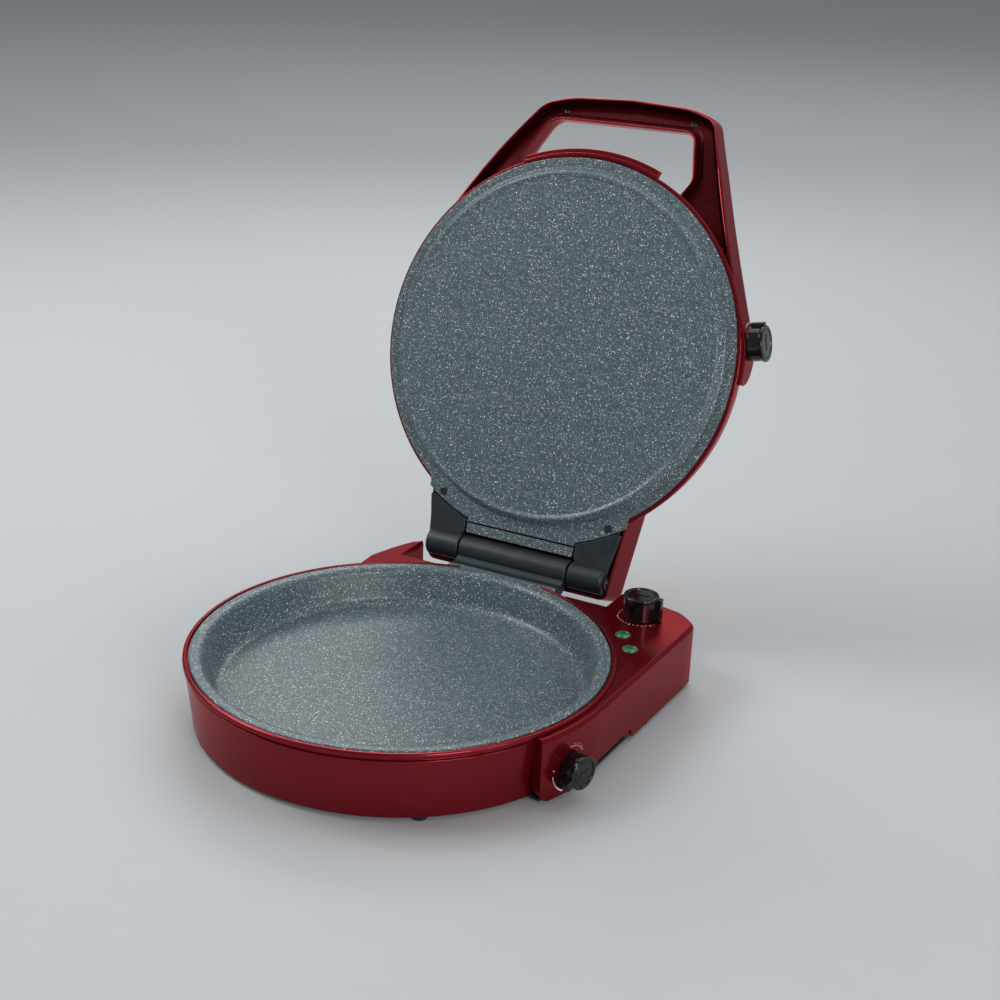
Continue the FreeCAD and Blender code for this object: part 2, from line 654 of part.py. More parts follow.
def make_ear(name, hand):
    """Cast lid bracket: a foot behind the plate, a flat face beside it, and a barrel."""
    body = new_body(name)
    near = ear_near
    reach = plate_edge + d.fit_gap * 3
    plan = sketch_in(body, name + "_plan", offset=plate_face)
    middle = (near + ear_wide) / 2
    draw(plan, (near * hand, circle_x(reach, near)),
         ((middle * hand, circle_x(reach, middle)), (ear_wide * hand, circle_x(reach, ear_wide))),
         (ear_outer * hand, deck_back - d.barrel_radius / 2),
         (near * hand, deck_back - d.barrel_radius / 2))
    pad(body, plan, d.ear_thickness, name + "_face")
    foot = sketch_in(body, name + "_foot_plan", offset=plate_back + d.hole_gap)
    x_far = d.plate_screw_x + d.head_radius * 3
    x_near = d.plate_screw_x - d.head_radius * 4
    back = plate_screw_y + d.barrel_radius * 1.6
    rectangle(foot, x_near * hand, plate_screw_y - d.head_radius * 2, x_far * hand, back)
    pad(body, foot, d.ear_thickness, name + "_foot")
    side = sketch_in(body, name + "_side", "YZ_Plane", offset=near * hand)
    ring(side, (deck_back, d.hinge_height), d.barrel_radius)
    pad(body, side, ear_outer - near, name + "_barrel", backwards=hand < 0)
    bore = sketch_in(body, name + "_bore_side", "YZ_Plane")
    ring(bore, (deck_back, d.hinge_height), d.pin_radius + d.hole_gap)
    pocket(body, bore, ear_outer * 3, name + "_bore", midplane=True)
    hole = sketch_in(body, name + "_hole_plan", offset=plate_face)
    ring(hole, (d.plate_screw_x * hand, plate_screw_y), screw_hole)
    pocket(body, hole, d.ear_thickness * 3, name + "_hole", backwards=True)
    keep(body, name, LID_OPEN)


def make_upper_plate():
    """Lid plate with its raised sealing bead, and the rear part that reaches over the hinge."""
    body = new_body("upper_plate")
    section = sketch_in(body, "plate_section", "XZ_Plane")
    thick = d.sheet_thickness
    low = plate_face - d.bead_height
    inner = plate_face - d.plate_step
    lean = bead_outer - bead_crest
    draw(section, (zero, inner), (bead_inner, inner),
         ((bead_inner + thick * 0.6, low + thick * 0.15), (bead_crest, low)),
         ((bead_crest + lean * 0.35, low + thick * 0.5), (bead_crest + lean * 0.5, plate_face - thick)),
         ((bead_crest + lean * 0.65, plate_face - thick * 0.3), (bead_outer + thick / 2, plate_face)),
         (d.rim_radius, plate_face), (d.rim_radius, plate_back),
         (bead_outer - thick / 4, plate_back),
         (bead_crest, low + thick), (bead_inner - thick / 2, inner + thick),
         (zero, inner + thick))
    spin(body, section, "plate_disc")
    tail = sketch_in(body, "plate_tail_plan", offset=plate_face)
    seam = bead_outer + thick
    wide = d.hood_front_half - d.shell_wall
    half = d.knuckle_half
    back = circle_x(plate_edge, half)
    middle = (half + wide) / 2
    chord = as_size(seam.value * 0.56)
    draw(tail, (wide, circle_x(plate_edge, wide)),
         ((middle, circle_x(plate_edge, middle)), (half, back)),
         (half, tongue_back), (-half, tongue_back), (-half, back),
         ((-middle, circle_x(plate_edge, middle)), (-wide, circle_x(plate_edge, wide))),
         (-chord, circle_x(seam, chord)),
         ((zero, seam), (chord, circle_x(seam, chord))))
    pad(body, tail, thick, "plate_tail")
    line = sketch_in(body, "plate_line_plan", offset=plate_face)
    front = d.rim_radius + d.line_reach
    rectangle(line, -half, front, half, front + d.groove_depth)
    pocket(body, line, thick / 5, "plate_line", backwards=True)
    holes = sketch_in(body, "plate_hole_plan", offset=plate_face)
    sinks = sketch_in(body, "plate_sink_plan", offset=plate_face)
    for hand in (-1, 1):
        ring(holes, (d.plate_screw_x * hand, plate_screw_y), screw_hole)
        ring(sinks, (d.plate_screw_x * hand, plate_screw_y), d.plate_head + d.fit_gap)
    pocket(body, holes, thick, "plate_holes", backwards=True)
    pocket(body, sinks, d.head_height, "plate_sinks", backwards=True)
    keep(body, "upper_plate", LID_OPEN)
    screws = [
        screw("plate_screw_%d" % number, d.plate_screw_x * hand, plate_screw_y,
              plate_face + d.head_height, d.ear_thickness + d.groove_depth, d.plate_head)
        for number, hand in enumerate((-1, 1), start=1)
    ]
    keep(gather("plate_screws", *screws), "plate_screws", LID_OPEN)


def flat(name, height, draw_plan, *options):
    """A sketch parallel to the table at the given height."""
    sketch = doc.addObject("Sketcher::SketchObject", name)
    bind(sketch, "Placement.Base.z", height)
    draw_plan(sketch, *options)
    return sketch


def slab(name, low, high, draw_plan, *options):
    return extrusion(flat(name + "_plan", low, draw_plan, *options), name, high - low)


def lobe_plan(sketch, inset):
    """The knob lobe: an arc about the pan's centre from the right arm to its end."""
    radius = lid_lobe_radius - inset
    end = d.lid_lobe_end - inset
    start = d.arm_start + inset
    inside = lid_shoulder - d.lobe_overlap - inset
    draw(sketch, (circle_x(radius, end), end),
         ((circle_x(radius, (start - end) / 4), (end - start) / 4), (circle_x(radius, start / 2), -start / 2)),
         (d.arm_side - inset, -start), (inside, -start), (inside, end))


def lobe_side(name, inset):
    """The lobe seen from the side, with its upper rear corner rounded."""
    inset = as_size(inset)
    low = lid_base - inset
    top = lid_base + d.lid_lobe_height - inset
    end = d.lid_lobe_end - inset
    front = -d.arm_start - d.lobe_overlap
    soft = d.lid_lobe_round
    sketch = doc.addObject("Sketcher::SketchObject", name + "_side")
    draw(sketch, (front, low), (end, low), (end, top - soft),
         ((end - soft * 0.293, top - soft * 0.293), (end - soft, top)), (front, top))
    sketch.Placement = Placement(Vector(), SIDE_VIEW)
    return extrusion(sketch, name, lid_lobe_radius * 1.2, (1, 0, 0))


def touch_point(radius, x, y):
    """Where a line from the point touches the circle about the pan's centre."""
    far = "sqrt(%s * %s + %s * %s)" % (x.text, x.text, y.text, y.text)
    reach = math.hypot(x.value, y.value)
    bearing = math.degrees(math.atan2(y.value, x.value) - math.acos(radius.value / reach))
    text = "(atan2(%s; %s) - acos(%s / %s))" % (y.text, x.text, radius.text, far)
    bearing = Size(bearing, text)
    return radius * cosine(bearing), radius * sine(bearing)


def arm_plan(sketch, inset):
    """The handle frame seen from above: two arms and a bowed grip."""
    inset = as_size(inset)
    side = d.arm_side - inset
    elbow = d.elbow_side - inset
    tip = d.tip_side - inset
    front = d.handle_front - inset
    corner = -d.tip_front + inset * 0.4
    root, root_y = touch_point(lid_wall, d.elbow_side, d.elbow_front)
    inner_start = d.arm_side - d.arm_width * 1.15 + inset
    inner_elbow = d.elbow_side - d.arm_width * 0.95 + inset
    back = -d.handle_front + d.grip_width - inset
    wall = -d.arm_start
    elbow_y = -d.elbow_front
    curve = (d.tip_side - d.arm_width * 0.25 - inset, -front + d.arm_width * 0.35)
    end = (d.window_half, d.groove_depth * 3.5 - front)
    draw(sketch, (side, wall), (elbow, elbow_y), (tip, corner), (curve, end),
         ((zero, -front), (-end[0], end[1])), ((-curve[0], curve[1]), (-tip, corner)),
         (-elbow, elbow_y), (inset - root, -root_y), (-inner_start, wall),
         (-inner_elbow, elbow_y + d.arm_width * 0.6), (-d.window_half, back),
         (d.window_half, back), (inner_elbow, elbow_y + d.arm_width * 0.6), (inner_start, wall))


def underside(lift):
    """Three points of the handle's lower curve seen from the side, raised by the lift."""
    front = -d.handle_front - d.shell_wall
    back = -d.arm_start
    foot = lid_base + lift
    middle = ((front + back) / 2, foot + d.handle_rise / 2 - d.handle_bow)
    return (back, foot), middle, (front, foot + d.handle_rise)


def roof(drop):
    """Three points of the handle's upper curve seen from the side, lowered by the drop."""
    (back, foot), middle, (front, _) = underside(0)
    top = foot + d.handle_depth + d.shell_wall - drop
    return (back, top), (middle[0], top + d.handle_rise / 2 - d.handle_sag), (front, top + d.handle_rise)


def band(name, under, over):
    """The rising side view between two curves, as wide as the handle."""
    sketch = doc.addObject("Sketcher::SketchObject", name + "_side")
    draw(sketch, under[0], (under[1], under[2]), over[2], (over[1], over[0]))
    sketch.Placement = Placement(Vector(), SIDE_VIEW)
    return extrusion(sketch, name, d.arm_side * 1.2, (1, 0, 0), d.arm_side * 1.2)


def hood_plan(sketch, inset):
    """The lid's rear extension over the hinge."""
    inset = as_size(inset)
    wide = d.hood_front_half - inset
    narrow = d.hood_back_half - inset
    back = hood_back - inset
    corner = d.hood_corner
    draw(sketch, (wide, hood_front), (narrow, back - corner),
         ((narrow - corner * 0.29, back - corner * 0.29), (narrow - corner, back)),
         (corner - narrow, back),
         ((corner * 0.29 - narrow, back - corner * 0.29), (-narrow, back - corner)),
         (-wide, hood_front))


def strip_plan(sketch):
    """Closing strip that stands proud of the lid's front wall."""
    inner = lid_wall - d.shell_wall
    half = d.strip_half
    draw(sketch, (-half, -circle_x(inner, half)), ((zero, -inner), (half, -circle_x(inner, half))),
         (half, -circle_x(strip_radius, half)),
         ((zero, -strip_radius), (-half, -circle_x(strip_radius, half))))


def turned(name, draw_section):
    sketch = doc.addObject("Sketcher::SketchObject", name + "_section")
    draw_section(sketch)
    sketch.Placement = Placement(Vector(), UP_TO_FRONT)
    solid = doc.addObject("Part::Revolution", name)
    solid.Source = sketch
    solid.Axis = Vector(0, 0, 1)
    solid.Angle = 360
    solid.Solid = True
    return solid


def dome_section(sketch, inset):
    """Half section of the lid: rim lip, drafted wall, round shoulder and shallow crown."""
    inset = as_size(inset)
    wall = lid_wall - inset
    top = lid_top - inset
    shoulder = lid_shoulder
    corner = (wall - d.edge_chamfer * 1.5, lid_shoulder_height - inset)
    ledge = lid_base + d.sheet_thickness
    if inset.value > 0:
        start = (wall - d.shell_wall, plate_face)
        foot = [start, (wall - d.shell_wall, ledge)]
    else:
        start = (lid_lip_outside, lid_base)
        foot = [start, (lid_lip_outside, ledge), (wall, ledge + d.groove_depth)]
    steps = foot[1:] + [
        corner,
        ((corner[0] - d.lid_crown, top - d.lid_crown * 2.1), (shoulder, top - d.lid_crown)),
        (shoulder / 2, top - d.lid_crown / 4), (zero, top)]
    draw(sketch, start, *steps, (zero, start[1]))


def make_lid_housing():
    """Domed lid with its knob lobe, a raised handle frame, a closing strip and a rear hood."""
    dome = turned("lid_dome", lambda sketch: dome_section(sketch, 0))
    lobe = common("lid_lobe", slab("lid_lobe_block", lid_base, lid_top, lobe_plan, as_size(0)),
                  lobe_side("lid_lobe_outline", 0))
    hood_top = lid_top - d.lid_crown * 2
    hood = slab("lid_hood", hood_bottom, hood_top, hood_plan, 0)
    strip = slab("lid_strip", lid_base, lid_base + d.strip_height, strip_plan)
    arms = slab("handle_frame", plate_face, lid_top + d.handle_rise, arm_plan, 0)
    handle = common("handle_shell", arms, band("handle_band", underside(0), roof(0)))
    outside = join("lid_outside", dome, lobe, hood, strip, handle)
    inside = turned("lid_inside", lambda sketch: dome_section(sketch, d.shell_wall))
    lobe_room = common("lid_lobe_room", slab("lid_lobe_space", lid_base + d.shell_wall, lid_top,
                                             lobe_plan, d.shell_wall),
                       lobe_side("lid_lobe_lining", d.shell_wall))
    hood_room = slab("lid_hood_room", plate_face - d.shell_wall, hood_top - d.shell_wall,
                     hood_plan, d.shell_wall)
    arm_hollow = slab("handle_room_frame", plate_face - d.shell_wall, lid_top + d.handle_rise,
                      arm_plan, d.shell_wall)
    posts = [
        cylinder("handle_post_%d" % number, d.head_radius * 1.2, d.handle_depth * 2,
                 handle_screw_seat(x, d.cover_thickness + d.hole_gap))
        for number, x in enumerate(HANDLE_SCREWS, start=1)
    ]
    arm_space = common("handle_space", arm_hollow, band("handle_room_band", underside(-1), roof(d.shell_wall)))
    arm_room = cut("handle_room", arm_space, join("handle_posts", *posts))
    threads = [
        cylinder("handle_thread_%d" % number, screw_hole, d.head_radius * 3, handle_screw_seat(x, 0))
        for number, x in enumerate(HANDLE_SCREWS, start=1)
    ]
    bore = cylinder("lid_knob_bore", shaft_hole, lid_lobe_radius * 1.2,
                    radial(d.upper_knob_angle, zero, d.upper_knob_height))
    room = join("lid_room", inside, lobe_room, hood_room, arm_room, bore, *threads)
    keep(cut("lid_housing", outside, room), "lid_housing", LID_OPEN)
    cover_band = common("handle_cover_sheet",
                        slab("handle_cover_frame", plate_face, lid_top + d.handle_rise,
                             arm_plan, d.shell_wall + d.fit_gap),
                        band("handle_cover_band", underside(d.cover_recess),
                             underside(d.cover_recess + d.cover_thickness)))
    holes = [
        cylinder("handle_cover_hole_%d" % number, screw_hole, d.head_radius * 4,
                 handle_screw_seat(x, -d.head_radius * 2))
        for number, x in enumerate(HANDLE_SCREWS, start=1)
    ]
    keep(cut("handle_cover", cover_band, join("handle_cover_holes", *holes)), "handle_cover", LID_OPEN)


HANDLE_SCREWS = (-d.handle_screw_x, d.handle_screw_x)


def handle_screw_seat(x, lift):
    """Placement square to the handle's cover, where a screw enters its underside."""
    curve = Part.Arc(*[point(pair) for pair in underside(d.cover_recess)]).toShape().Curve
    y = (d.grip_width * 0.72 - d.handle_front).value
    drop = math.sqrt(curve.Radius ** 2 - (y - curve.Center.x) ** 2)
    normal = Vector(0, curve.Center.x - y, drop).normalize()
    place = Vector(as_size(x).value, y, curve.Center.y - drop)
    return Placement(place + normal * as_size(lift).value, Rotation(Vector(0, 0, 1), normal))


def make_heater(prefix, below, placement=None):
    """Ring element, reflector dish and three clamps on the outer face of one plate."""
    side = -1 if below else 1
    face = floor_bottom if below else plate_face - d.plate_step + d.sheet_thickness
    centre = face + (d.element_radius + d.fit_gap) * side
    loop = doc.addObject("Part::Torus", prefix + "_loop")
    bind(loop, "Radius1", d.element_ring)
    bind(loop, "Radius2", d.element_radius)
    loop.Angle3 = 360 - d.element_open.value
    loop.Placement = at(0, 0, centre, Rotation(Vector(0, 0, 1), -d.upper_knob_angle.value))
    legs = []
    for number, angle in enumerate((-d.upper_knob_angle.value, 360 - d.element_open.value - d.upper_knob_angle.value)):
        turn = math.radians(angle)
        leg = cylinder("%s_leg_%d" % (prefix, number), d.element_radius, d.element_leg)
        base = centre if side > 0 else centre - d.element_leg
        leg.Placement = at(d.element_ring * math.cos(turn), d.element_ring * math.sin(turn), base)
        legs.append(leg)
    keep(join(prefix + "_heating_element", loop, *legs), prefix + "_heating_element", placement)
    low = centre + (d.element_radius + d.groove_depth) * side
    dish = new_body(prefix + "_heat_shield")
    section = sketch_in(dish, prefix + "_shield_section", "XZ_Plane")
    thin = d.shield_thickness * side
    rise = -d.element_radius * side
    lean = d.element_radius * 1.5
    draw(section, (d.element_ring / 4, low), (d.shield_radius - lean, low),
         (d.shield_radius, low + rise), (d.shield_radius, low + rise + thin),
         (d.shield_radius - lean, low + thin), (d.element_ring / 4, low + thin))
    spin(dish, section, prefix + "_shield_dish")
    holes = sketch_in(dish, prefix + "_shield_holes", offset=low)
    for angle in (-d.upper_knob_angle.value, 360 - d.element_open.value - d.upper_knob_angle.value):
        turn = math.radians(angle)
        ring(holes, (d.element_ring * math.cos(turn), d.element_ring * math.sin(turn)),
             d.element_radius + d.fit_gap)
    pocket(dish, holes, d.element_radius * 4, prefix + "_shield_bores", midplane=True)
    keep(dish, prefix + "_heat_shield", placement)
    clamps = []
    wide = d.element_radius * 6
    tall = d.element_radius * 2 + d.groove_depth * 0.8
    reach = d.element_radius + d.fit_gap
    for number, angle in enumerate((60, 180, 300)):
        label = "%s_clamp_%d" % (prefix, number)
        bar = box(label + "_bar", wide, d.element_radius * 2, tall, at(0, -d.element_radius, 0))
        gap = cylinder(label + "_gap", reach, d.element_radius * 4,
                       at(wide / 2, d.element_radius * 2, reach, UP_TO_FRONT))
        mouth = box(label + "_mouth", reach * 2, d.element_radius * 4, reach * 2,
                    at(wide / 2 - reach, d.element_radius * -2, -reach))
        clip = cut(label, bar, join(label + "_space", gap, mouth))
        turn = Rotation(Vector(0, 0, 1), angle)
        flip = Rotation(Vector(1, 0, 0), 0 if side > 0 else 180)
        shift = Vector((d.element_ring - wide / 2).value, 0, face.value)
        clip.Placement = Placement(turn.multVec(shift), turn * flip)
        clamps.append(clip)
    keep(gather(prefix + "_element_clamps", *clamps), prefix + "_element_clamps", placement)


# Share of a knob's length that its shaft enters
BORE_SHARE = 0.65


def make_control(prefix, lobe, setback, placement=None):
    """Thermostat inside the lobe, with its turning shaft and the ridged knob outside."""
    angle, height, radius, knob_length = [
        getattr(d, prefix + "_knob_" + word) for word in ("angle", "height", "radius", "length")
    ]
    deep = d.thermostat_depth
    wide = d.thermostat_width
    tall = d.thermostat_height
    inner = lobe - d.shell_wall - deep - setback
    case = box(prefix + "_thermostat_case", tall, wide, deep, at(-tall / 2, -wide / 2, 0))
    stem = cylinder(prefix + "_thermostat_bore", shaft_hole, deep)
    spades = [
        box("%s_spade_%d" % (prefix, number), d.shield_thickness, d.element_radius * 1.5,
            d.element_radius, at(offset * tall, -wide * 0.4, -d.element_radius))
        for number, offset in enumerate((-0.25, 0.25))
    ]
    control = cut(prefix + "_thermostat_block", join(prefix + "_thermostat_body", case, *spades), stem)
    seat = radial(angle, inner, height)
    keep(gather(prefix + "_thermostat", control), prefix + "_thermostat", (placement or Placement()) * seat)
    flat_length = knob_length * BORE_SHARE + d.fit_gap
    length = lobe + d.knob_standoff + knob_length * BORE_SHARE - inner
    shaft = cylinder(prefix + "_shaft_rod", d.shaft_radius, length)
    flat_cut = box(prefix + "_shaft_flat", d.shaft_radius, d.shaft_radius * 2, flat_length,
                   at(d.shaft_radius * 0.6, -d.shaft_radius, length - flat_length))
    keep(cut(prefix + "_knob_shaft", shaft, flat_cut), prefix + "_knob_shaft",
         (placement or Placement()) * seat)
    face = radial(angle, lobe + d.knob_standoff, height)
    make_knob(prefix + "_knob", radius, knob_length, (placement or Placement()) * face)


def make_knob(name, radius, length, placement):
    """Turned knob with a pointer ridge, a sunken cap ring, side grips and a flatted bore."""
    body = new_body(name)
    section = sketch_in(body, name + "_section", "XZ_Plane")
    edge = d.edge_chamfer
    draw(section, (zero, zero), (radius, zero), (radius, length * 0.3),
         (radius - edge / 2, length - edge),
         ((radius - edge * 0.8, length - edge * 0.3), (radius - edge * 1.5, length)),
         (radius * 0.68, length), (radius * 0.64, length - d.knob_groove),
         (radius * 0.58, length - d.knob_groove), (radius * 0.54, length), (zero, length))
    spin(body, section, name + "_turning")
    notch = sketch_in(body, name + "_notch_plan")
    ring(notch, (radius * 1.06, 0), radius * 0.13)
    first = pocket(body, notch, length * 0.75, name + "_notch", backwards=True)
    grips = body.newObject("PartDesign::PolarPattern", name + "_grips")
    grips.Originals = [first]
    grips.Axis = (notch, ["N_Axis"])
    grips.Angle = 360
    grips.Occurrences = 16
    body.Tip = grips
    ridge = sketch_in(body, name + "_ridge_plan", offset=length * 0.2)
    rectangle(ridge, radius * 0.8, radius * -0.12, radius * 1.1, radius * 0.12)
    pad(body, ridge, length * 0.9, name + "_ridge")
    bore = sketch_in(body, name + "_bore_plan")
    reach = d.shaft_radius + d.hole_gap
    half = circle_x(reach, d.shaft_radius * 0.7)
    draw(bore, (d.shaft_radius * 0.7, half), ((-reach, zero), (d.shaft_radius * 0.7, -half)))
    pocket(body, bore, length * BORE_SHARE + d.fit_gap, name + "_bore", backwards=True)
    return keep(body, name, placement)


def make_timer():
    """Clockwork case and bell below the platform, with the upright shaft and its knob."""
    wide = d.timer_case
    tall = d.timer_case_height
    top = deck_inside - d.fit_gap
    case = box("timer_case", wide, wide, tall,
               at(timer_x - wide / 2, timer_y - wide / 2, top - tall))
    socket = cylinder("timer_socket", shaft_hole, tall / 2, at(timer_x, timer_y, top - tall / 2))
    keep(cut("timer_mechanism", case, socket), "timer_mechanism")
    bell = new_body("timer_bell")
    section = sketch_in(bell, "bell_section", "XZ_Plane")
    base = top - tall - d.sheet_thickness * 1.6
    span = wide * 0.36
    hub = d.screw_radius * 1.5
    draw(section, (zero, base), (hub, base), (span, base + d.sheet_thickness),
         (span, base + d.sheet_thickness + d.shield_thickness), (hub, base + d.shield_thickness),
         (hub, top - tall), (zero, top - tall))
    spin(bell, section, "bell_dish")
    keep(bell, "timer_bell", at(timer_x, timer_y, 0))
    low = top - tall / 2
    length = deck_top - low + d.knob_standoff / 2 + d.timer_length * BORE_SHARE
    rod = cylinder("timer_rod", d.shaft_radius, length)
    flat_length = d.timer_length * BORE_SHARE + d.fit_gap
    flat_cut = box("timer_rod_flat", d.shaft_radius, d.shaft_radius * 2, flat_length,
                   at(d.shaft_radius * 0.6, -d.shaft_radius, length - flat_length))
    keep(cut("timer_shaft", rod, flat_cut), "timer_shaft", at(timer_x, timer_y, low))
    make_knob("timer_knob", d.timer_radius, d.timer_length,
              at(timer_x, timer_y, deck_top + d.knob_standoff / 2))


def make_lenses():
    """Two round indicator lenses in the platform, with their lamps below."""
    lamps = []
    for name, x, y in LENSES:
        body = new_body(name)
        section = sketch_in(body, name + "_section", "XZ_Plane")
        base = deck_top - d.shell_wall
        collar = d.lens_radius + d.groove_depth
        draw(section, (zero, base), (d.lens_radius, base), (d.lens_radius, deck_top),
             (collar, deck_top), (collar, deck_top + d.groove_depth),
             (d.lens_radius - d.groove_depth / 4, deck_top + d.groove_depth),
             ((d.lens_radius * 0.6, deck_top + d.lens_height),
              (d.lens_radius * 0.2, deck_top + d.lens_height * 1.15)),
             (zero, deck_top + d.lens_height * 1.15))
        spin(body, section, name + "_turning")
        keep(body, name, at(x, y, 0))
        lamps.append(cylinder(name + "_lamp", d.lens_radius * 0.6, d.inlet_tall / 2,
                              at(x, y, base - d.inlet_tall / 2 - d.fit_gap)))
    keep(gather("indicator_lamps", *lamps), "indicator_lamps")


def make_power():
    """Recessed appliance inlet in the back wall, its three pins and screws, and a terminal block."""
    body = new_body("power_inlet")
    wide = d.inlet_width / 2 - d.fit_gap
    tall = d.inlet_tall / 2 - d.fit_gap
    outside = deck_back + d.fit_gap / 3
    flange = sketch_in(body, "inlet_flange_back", "XZ_Plane", offset=-outside - d.shell_wall)
    rectangle(flange, -wide - d.inlet_ear, -tall - d.groove_depth, wide + d.inlet_ear, tall + d.groove_depth)
    pad(body, flange, d.shell_wall, "inlet_flange")
    case = sketch_in(body, "inlet_case_back", "XZ_Plane", offset=-outside)
    rectangle(case, -wide, -tall, wide, tall)
    pad(body, case, d.inlet_depth - d.shell_wall, "inlet_case")
    mouth = sketch_in(body, "inlet_mouth_back", "XZ_Plane", offset=-outside - d.shell_wall)
    chamfer = d.edge_chamfer * 2
    inner = wide - d.shell_wall
    low = tall - d.edge_chamfer
    draw(mouth, (-inner, -low), (inner, -low), (inner, low - chamfer), (inner - chamfer, low),
         (chamfer - inner, low), (-inner, low - chamfer))
    pocket(body, mouth, d.inlet_depth * 0.75, "inlet_mouth", backwards=True)
    holes = sketch_in(body, "inlet_holes_back", "XZ_Plane", offset=-outside - d.shell_wall)
    for hand in (-1, 1):
        ring(holes, (inlet_screw_x * hand, 0), screw_hole)
    pocket(body, holes, d.shell_wall, "inlet_holes", backwards=True)
    keep(body, "power_inlet", at(inlet_x, 0, d.inlet_height))
    floor = outside + d.shell_wall - d.inlet_depth * 0.75
    pins = [
        box("inlet_pin_%d" % number, d.shell_wall, d.inlet_depth * 0.5, d.inlet_tall / 4,
            at(inlet_x + offset * d.inlet_width - d.shell_wall / 2, floor,
               d.inlet_height + rise * d.inlet_tall - d.inlet_tall / 8))
        for number, (offset, rise) in enumerate(((-0.25, -0.1), (0, 0.12), (0.25, -0.1)))
    ]
    keep(gather("inlet_pins", *pins), "inlet_pins")
    screws = []
    for number, hand in enumerate((-1, 1)):
        piece = screw("inlet_screw_%d" % number, 0, 0, 0, d.shell_wall * 1.9, d.small_head_radius)
        piece.Placement = at(inlet_x + inlet_screw_x * hand, outside + d.shell_wall,
                             d.inlet_height, UP_TO_FRONT)
        screws.append(piece)
    keep(gather("inlet_screws", *screws), "inlet_screws")
    block = box("terminal_case", d.inlet_width, d.inlet_tall * 0.7, d.inlet_tall * 0.6)
    ways = [
        cylinder("terminal_way_%d" % number, d.screw_radius, d.inlet_tall * 0.6,
                 at(d.inlet_width * (number + 1) / 4, d.inlet_tall * 0.35, 0))
        for number in range(3)
    ]
    keep(cut("terminal_block", block, join("terminal_ways", *ways)), "terminal_block",
         at(LENSES[1][1] - d.inlet_width / 2, LENSES[0][2] - d.inlet_ear, d.foot_height + d.cover_thickness))


def make_handle_screws():
    """Short screws that hold the underside cover of the handle."""
    screws = []
    for number, x in enumerate(HANDLE_SCREWS, start=1):
        piece = screw("handle_screw_%d" % number, 0, 0, 0, d.sheet_thickness * 2, d.small_head_radius)
        piece.Placement = handle_screw_seat(x, -d.hole_gap)
        screws.append(piece)
    keep(gather("handle_screws", *screws), "handle_screws", LID_OPEN)


def write_parts():
    """Check every feature and write one file per named piece."""
    doc.recompute()
    for feature in doc.Objects:
        if any(word in ("Invalid", "Error") for word in feature.State):
            raise RuntimeError("%s has not rebuilt" % feature.Name)
    os.makedirs("parts", exist_ok=True)
    for name, piece in nodes:
        shape = piece.Shape
        if shape.isNull() or not shape.isValid():
            raise RuntimeError("%s has no sound shape" % name)
        shape.exportStep("parts/%s.step" % name)


make_base_housing()
make_bottom()
make_lower_pan()
make_hinge()
make_upper_plate()
make_lid_housing()
make_handle_screws()
make_heater("lower", True)
make_heater("upper", False, LID_OPEN)
make_control("lower", lobe_radius, d.lower_setback)
make_control("upper", lid_lobe_radius, d.upper_setback, LID_OPEN)
make_timer()
make_lenses()
make_power()
write_parts()
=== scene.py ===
import json
import math

import bmesh
import bpy
from mathutils import Matrix, Vector

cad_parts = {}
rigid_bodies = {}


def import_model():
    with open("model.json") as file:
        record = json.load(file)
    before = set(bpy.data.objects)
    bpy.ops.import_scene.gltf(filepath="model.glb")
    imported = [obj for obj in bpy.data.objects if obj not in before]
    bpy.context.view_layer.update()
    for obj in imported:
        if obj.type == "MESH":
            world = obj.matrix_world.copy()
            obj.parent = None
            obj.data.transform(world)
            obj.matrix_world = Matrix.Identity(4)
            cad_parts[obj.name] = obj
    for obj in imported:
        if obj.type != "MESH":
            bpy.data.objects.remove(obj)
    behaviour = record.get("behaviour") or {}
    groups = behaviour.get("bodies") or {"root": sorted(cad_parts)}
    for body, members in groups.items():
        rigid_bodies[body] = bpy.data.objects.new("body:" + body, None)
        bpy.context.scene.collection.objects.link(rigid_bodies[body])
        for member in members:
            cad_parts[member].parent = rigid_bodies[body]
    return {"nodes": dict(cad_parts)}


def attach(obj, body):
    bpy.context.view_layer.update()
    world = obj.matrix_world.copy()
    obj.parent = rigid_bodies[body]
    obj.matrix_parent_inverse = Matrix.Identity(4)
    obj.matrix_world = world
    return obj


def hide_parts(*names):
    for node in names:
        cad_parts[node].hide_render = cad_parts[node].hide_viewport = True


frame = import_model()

bl_info = {
    "name": "Pizza maker builder",
    "version": (1, 0, 0),
    "blender": (4, 5, 0),
    "location": "View3D > Sidebar > Pizza maker",
    "description": "Builds the electric pizza maker's surfaces, finishes and studio",
    "category": "Add Mesh",
}

SCALE = 0.001
SMOOTH_ANGLE = math.radians(32)


# Settings

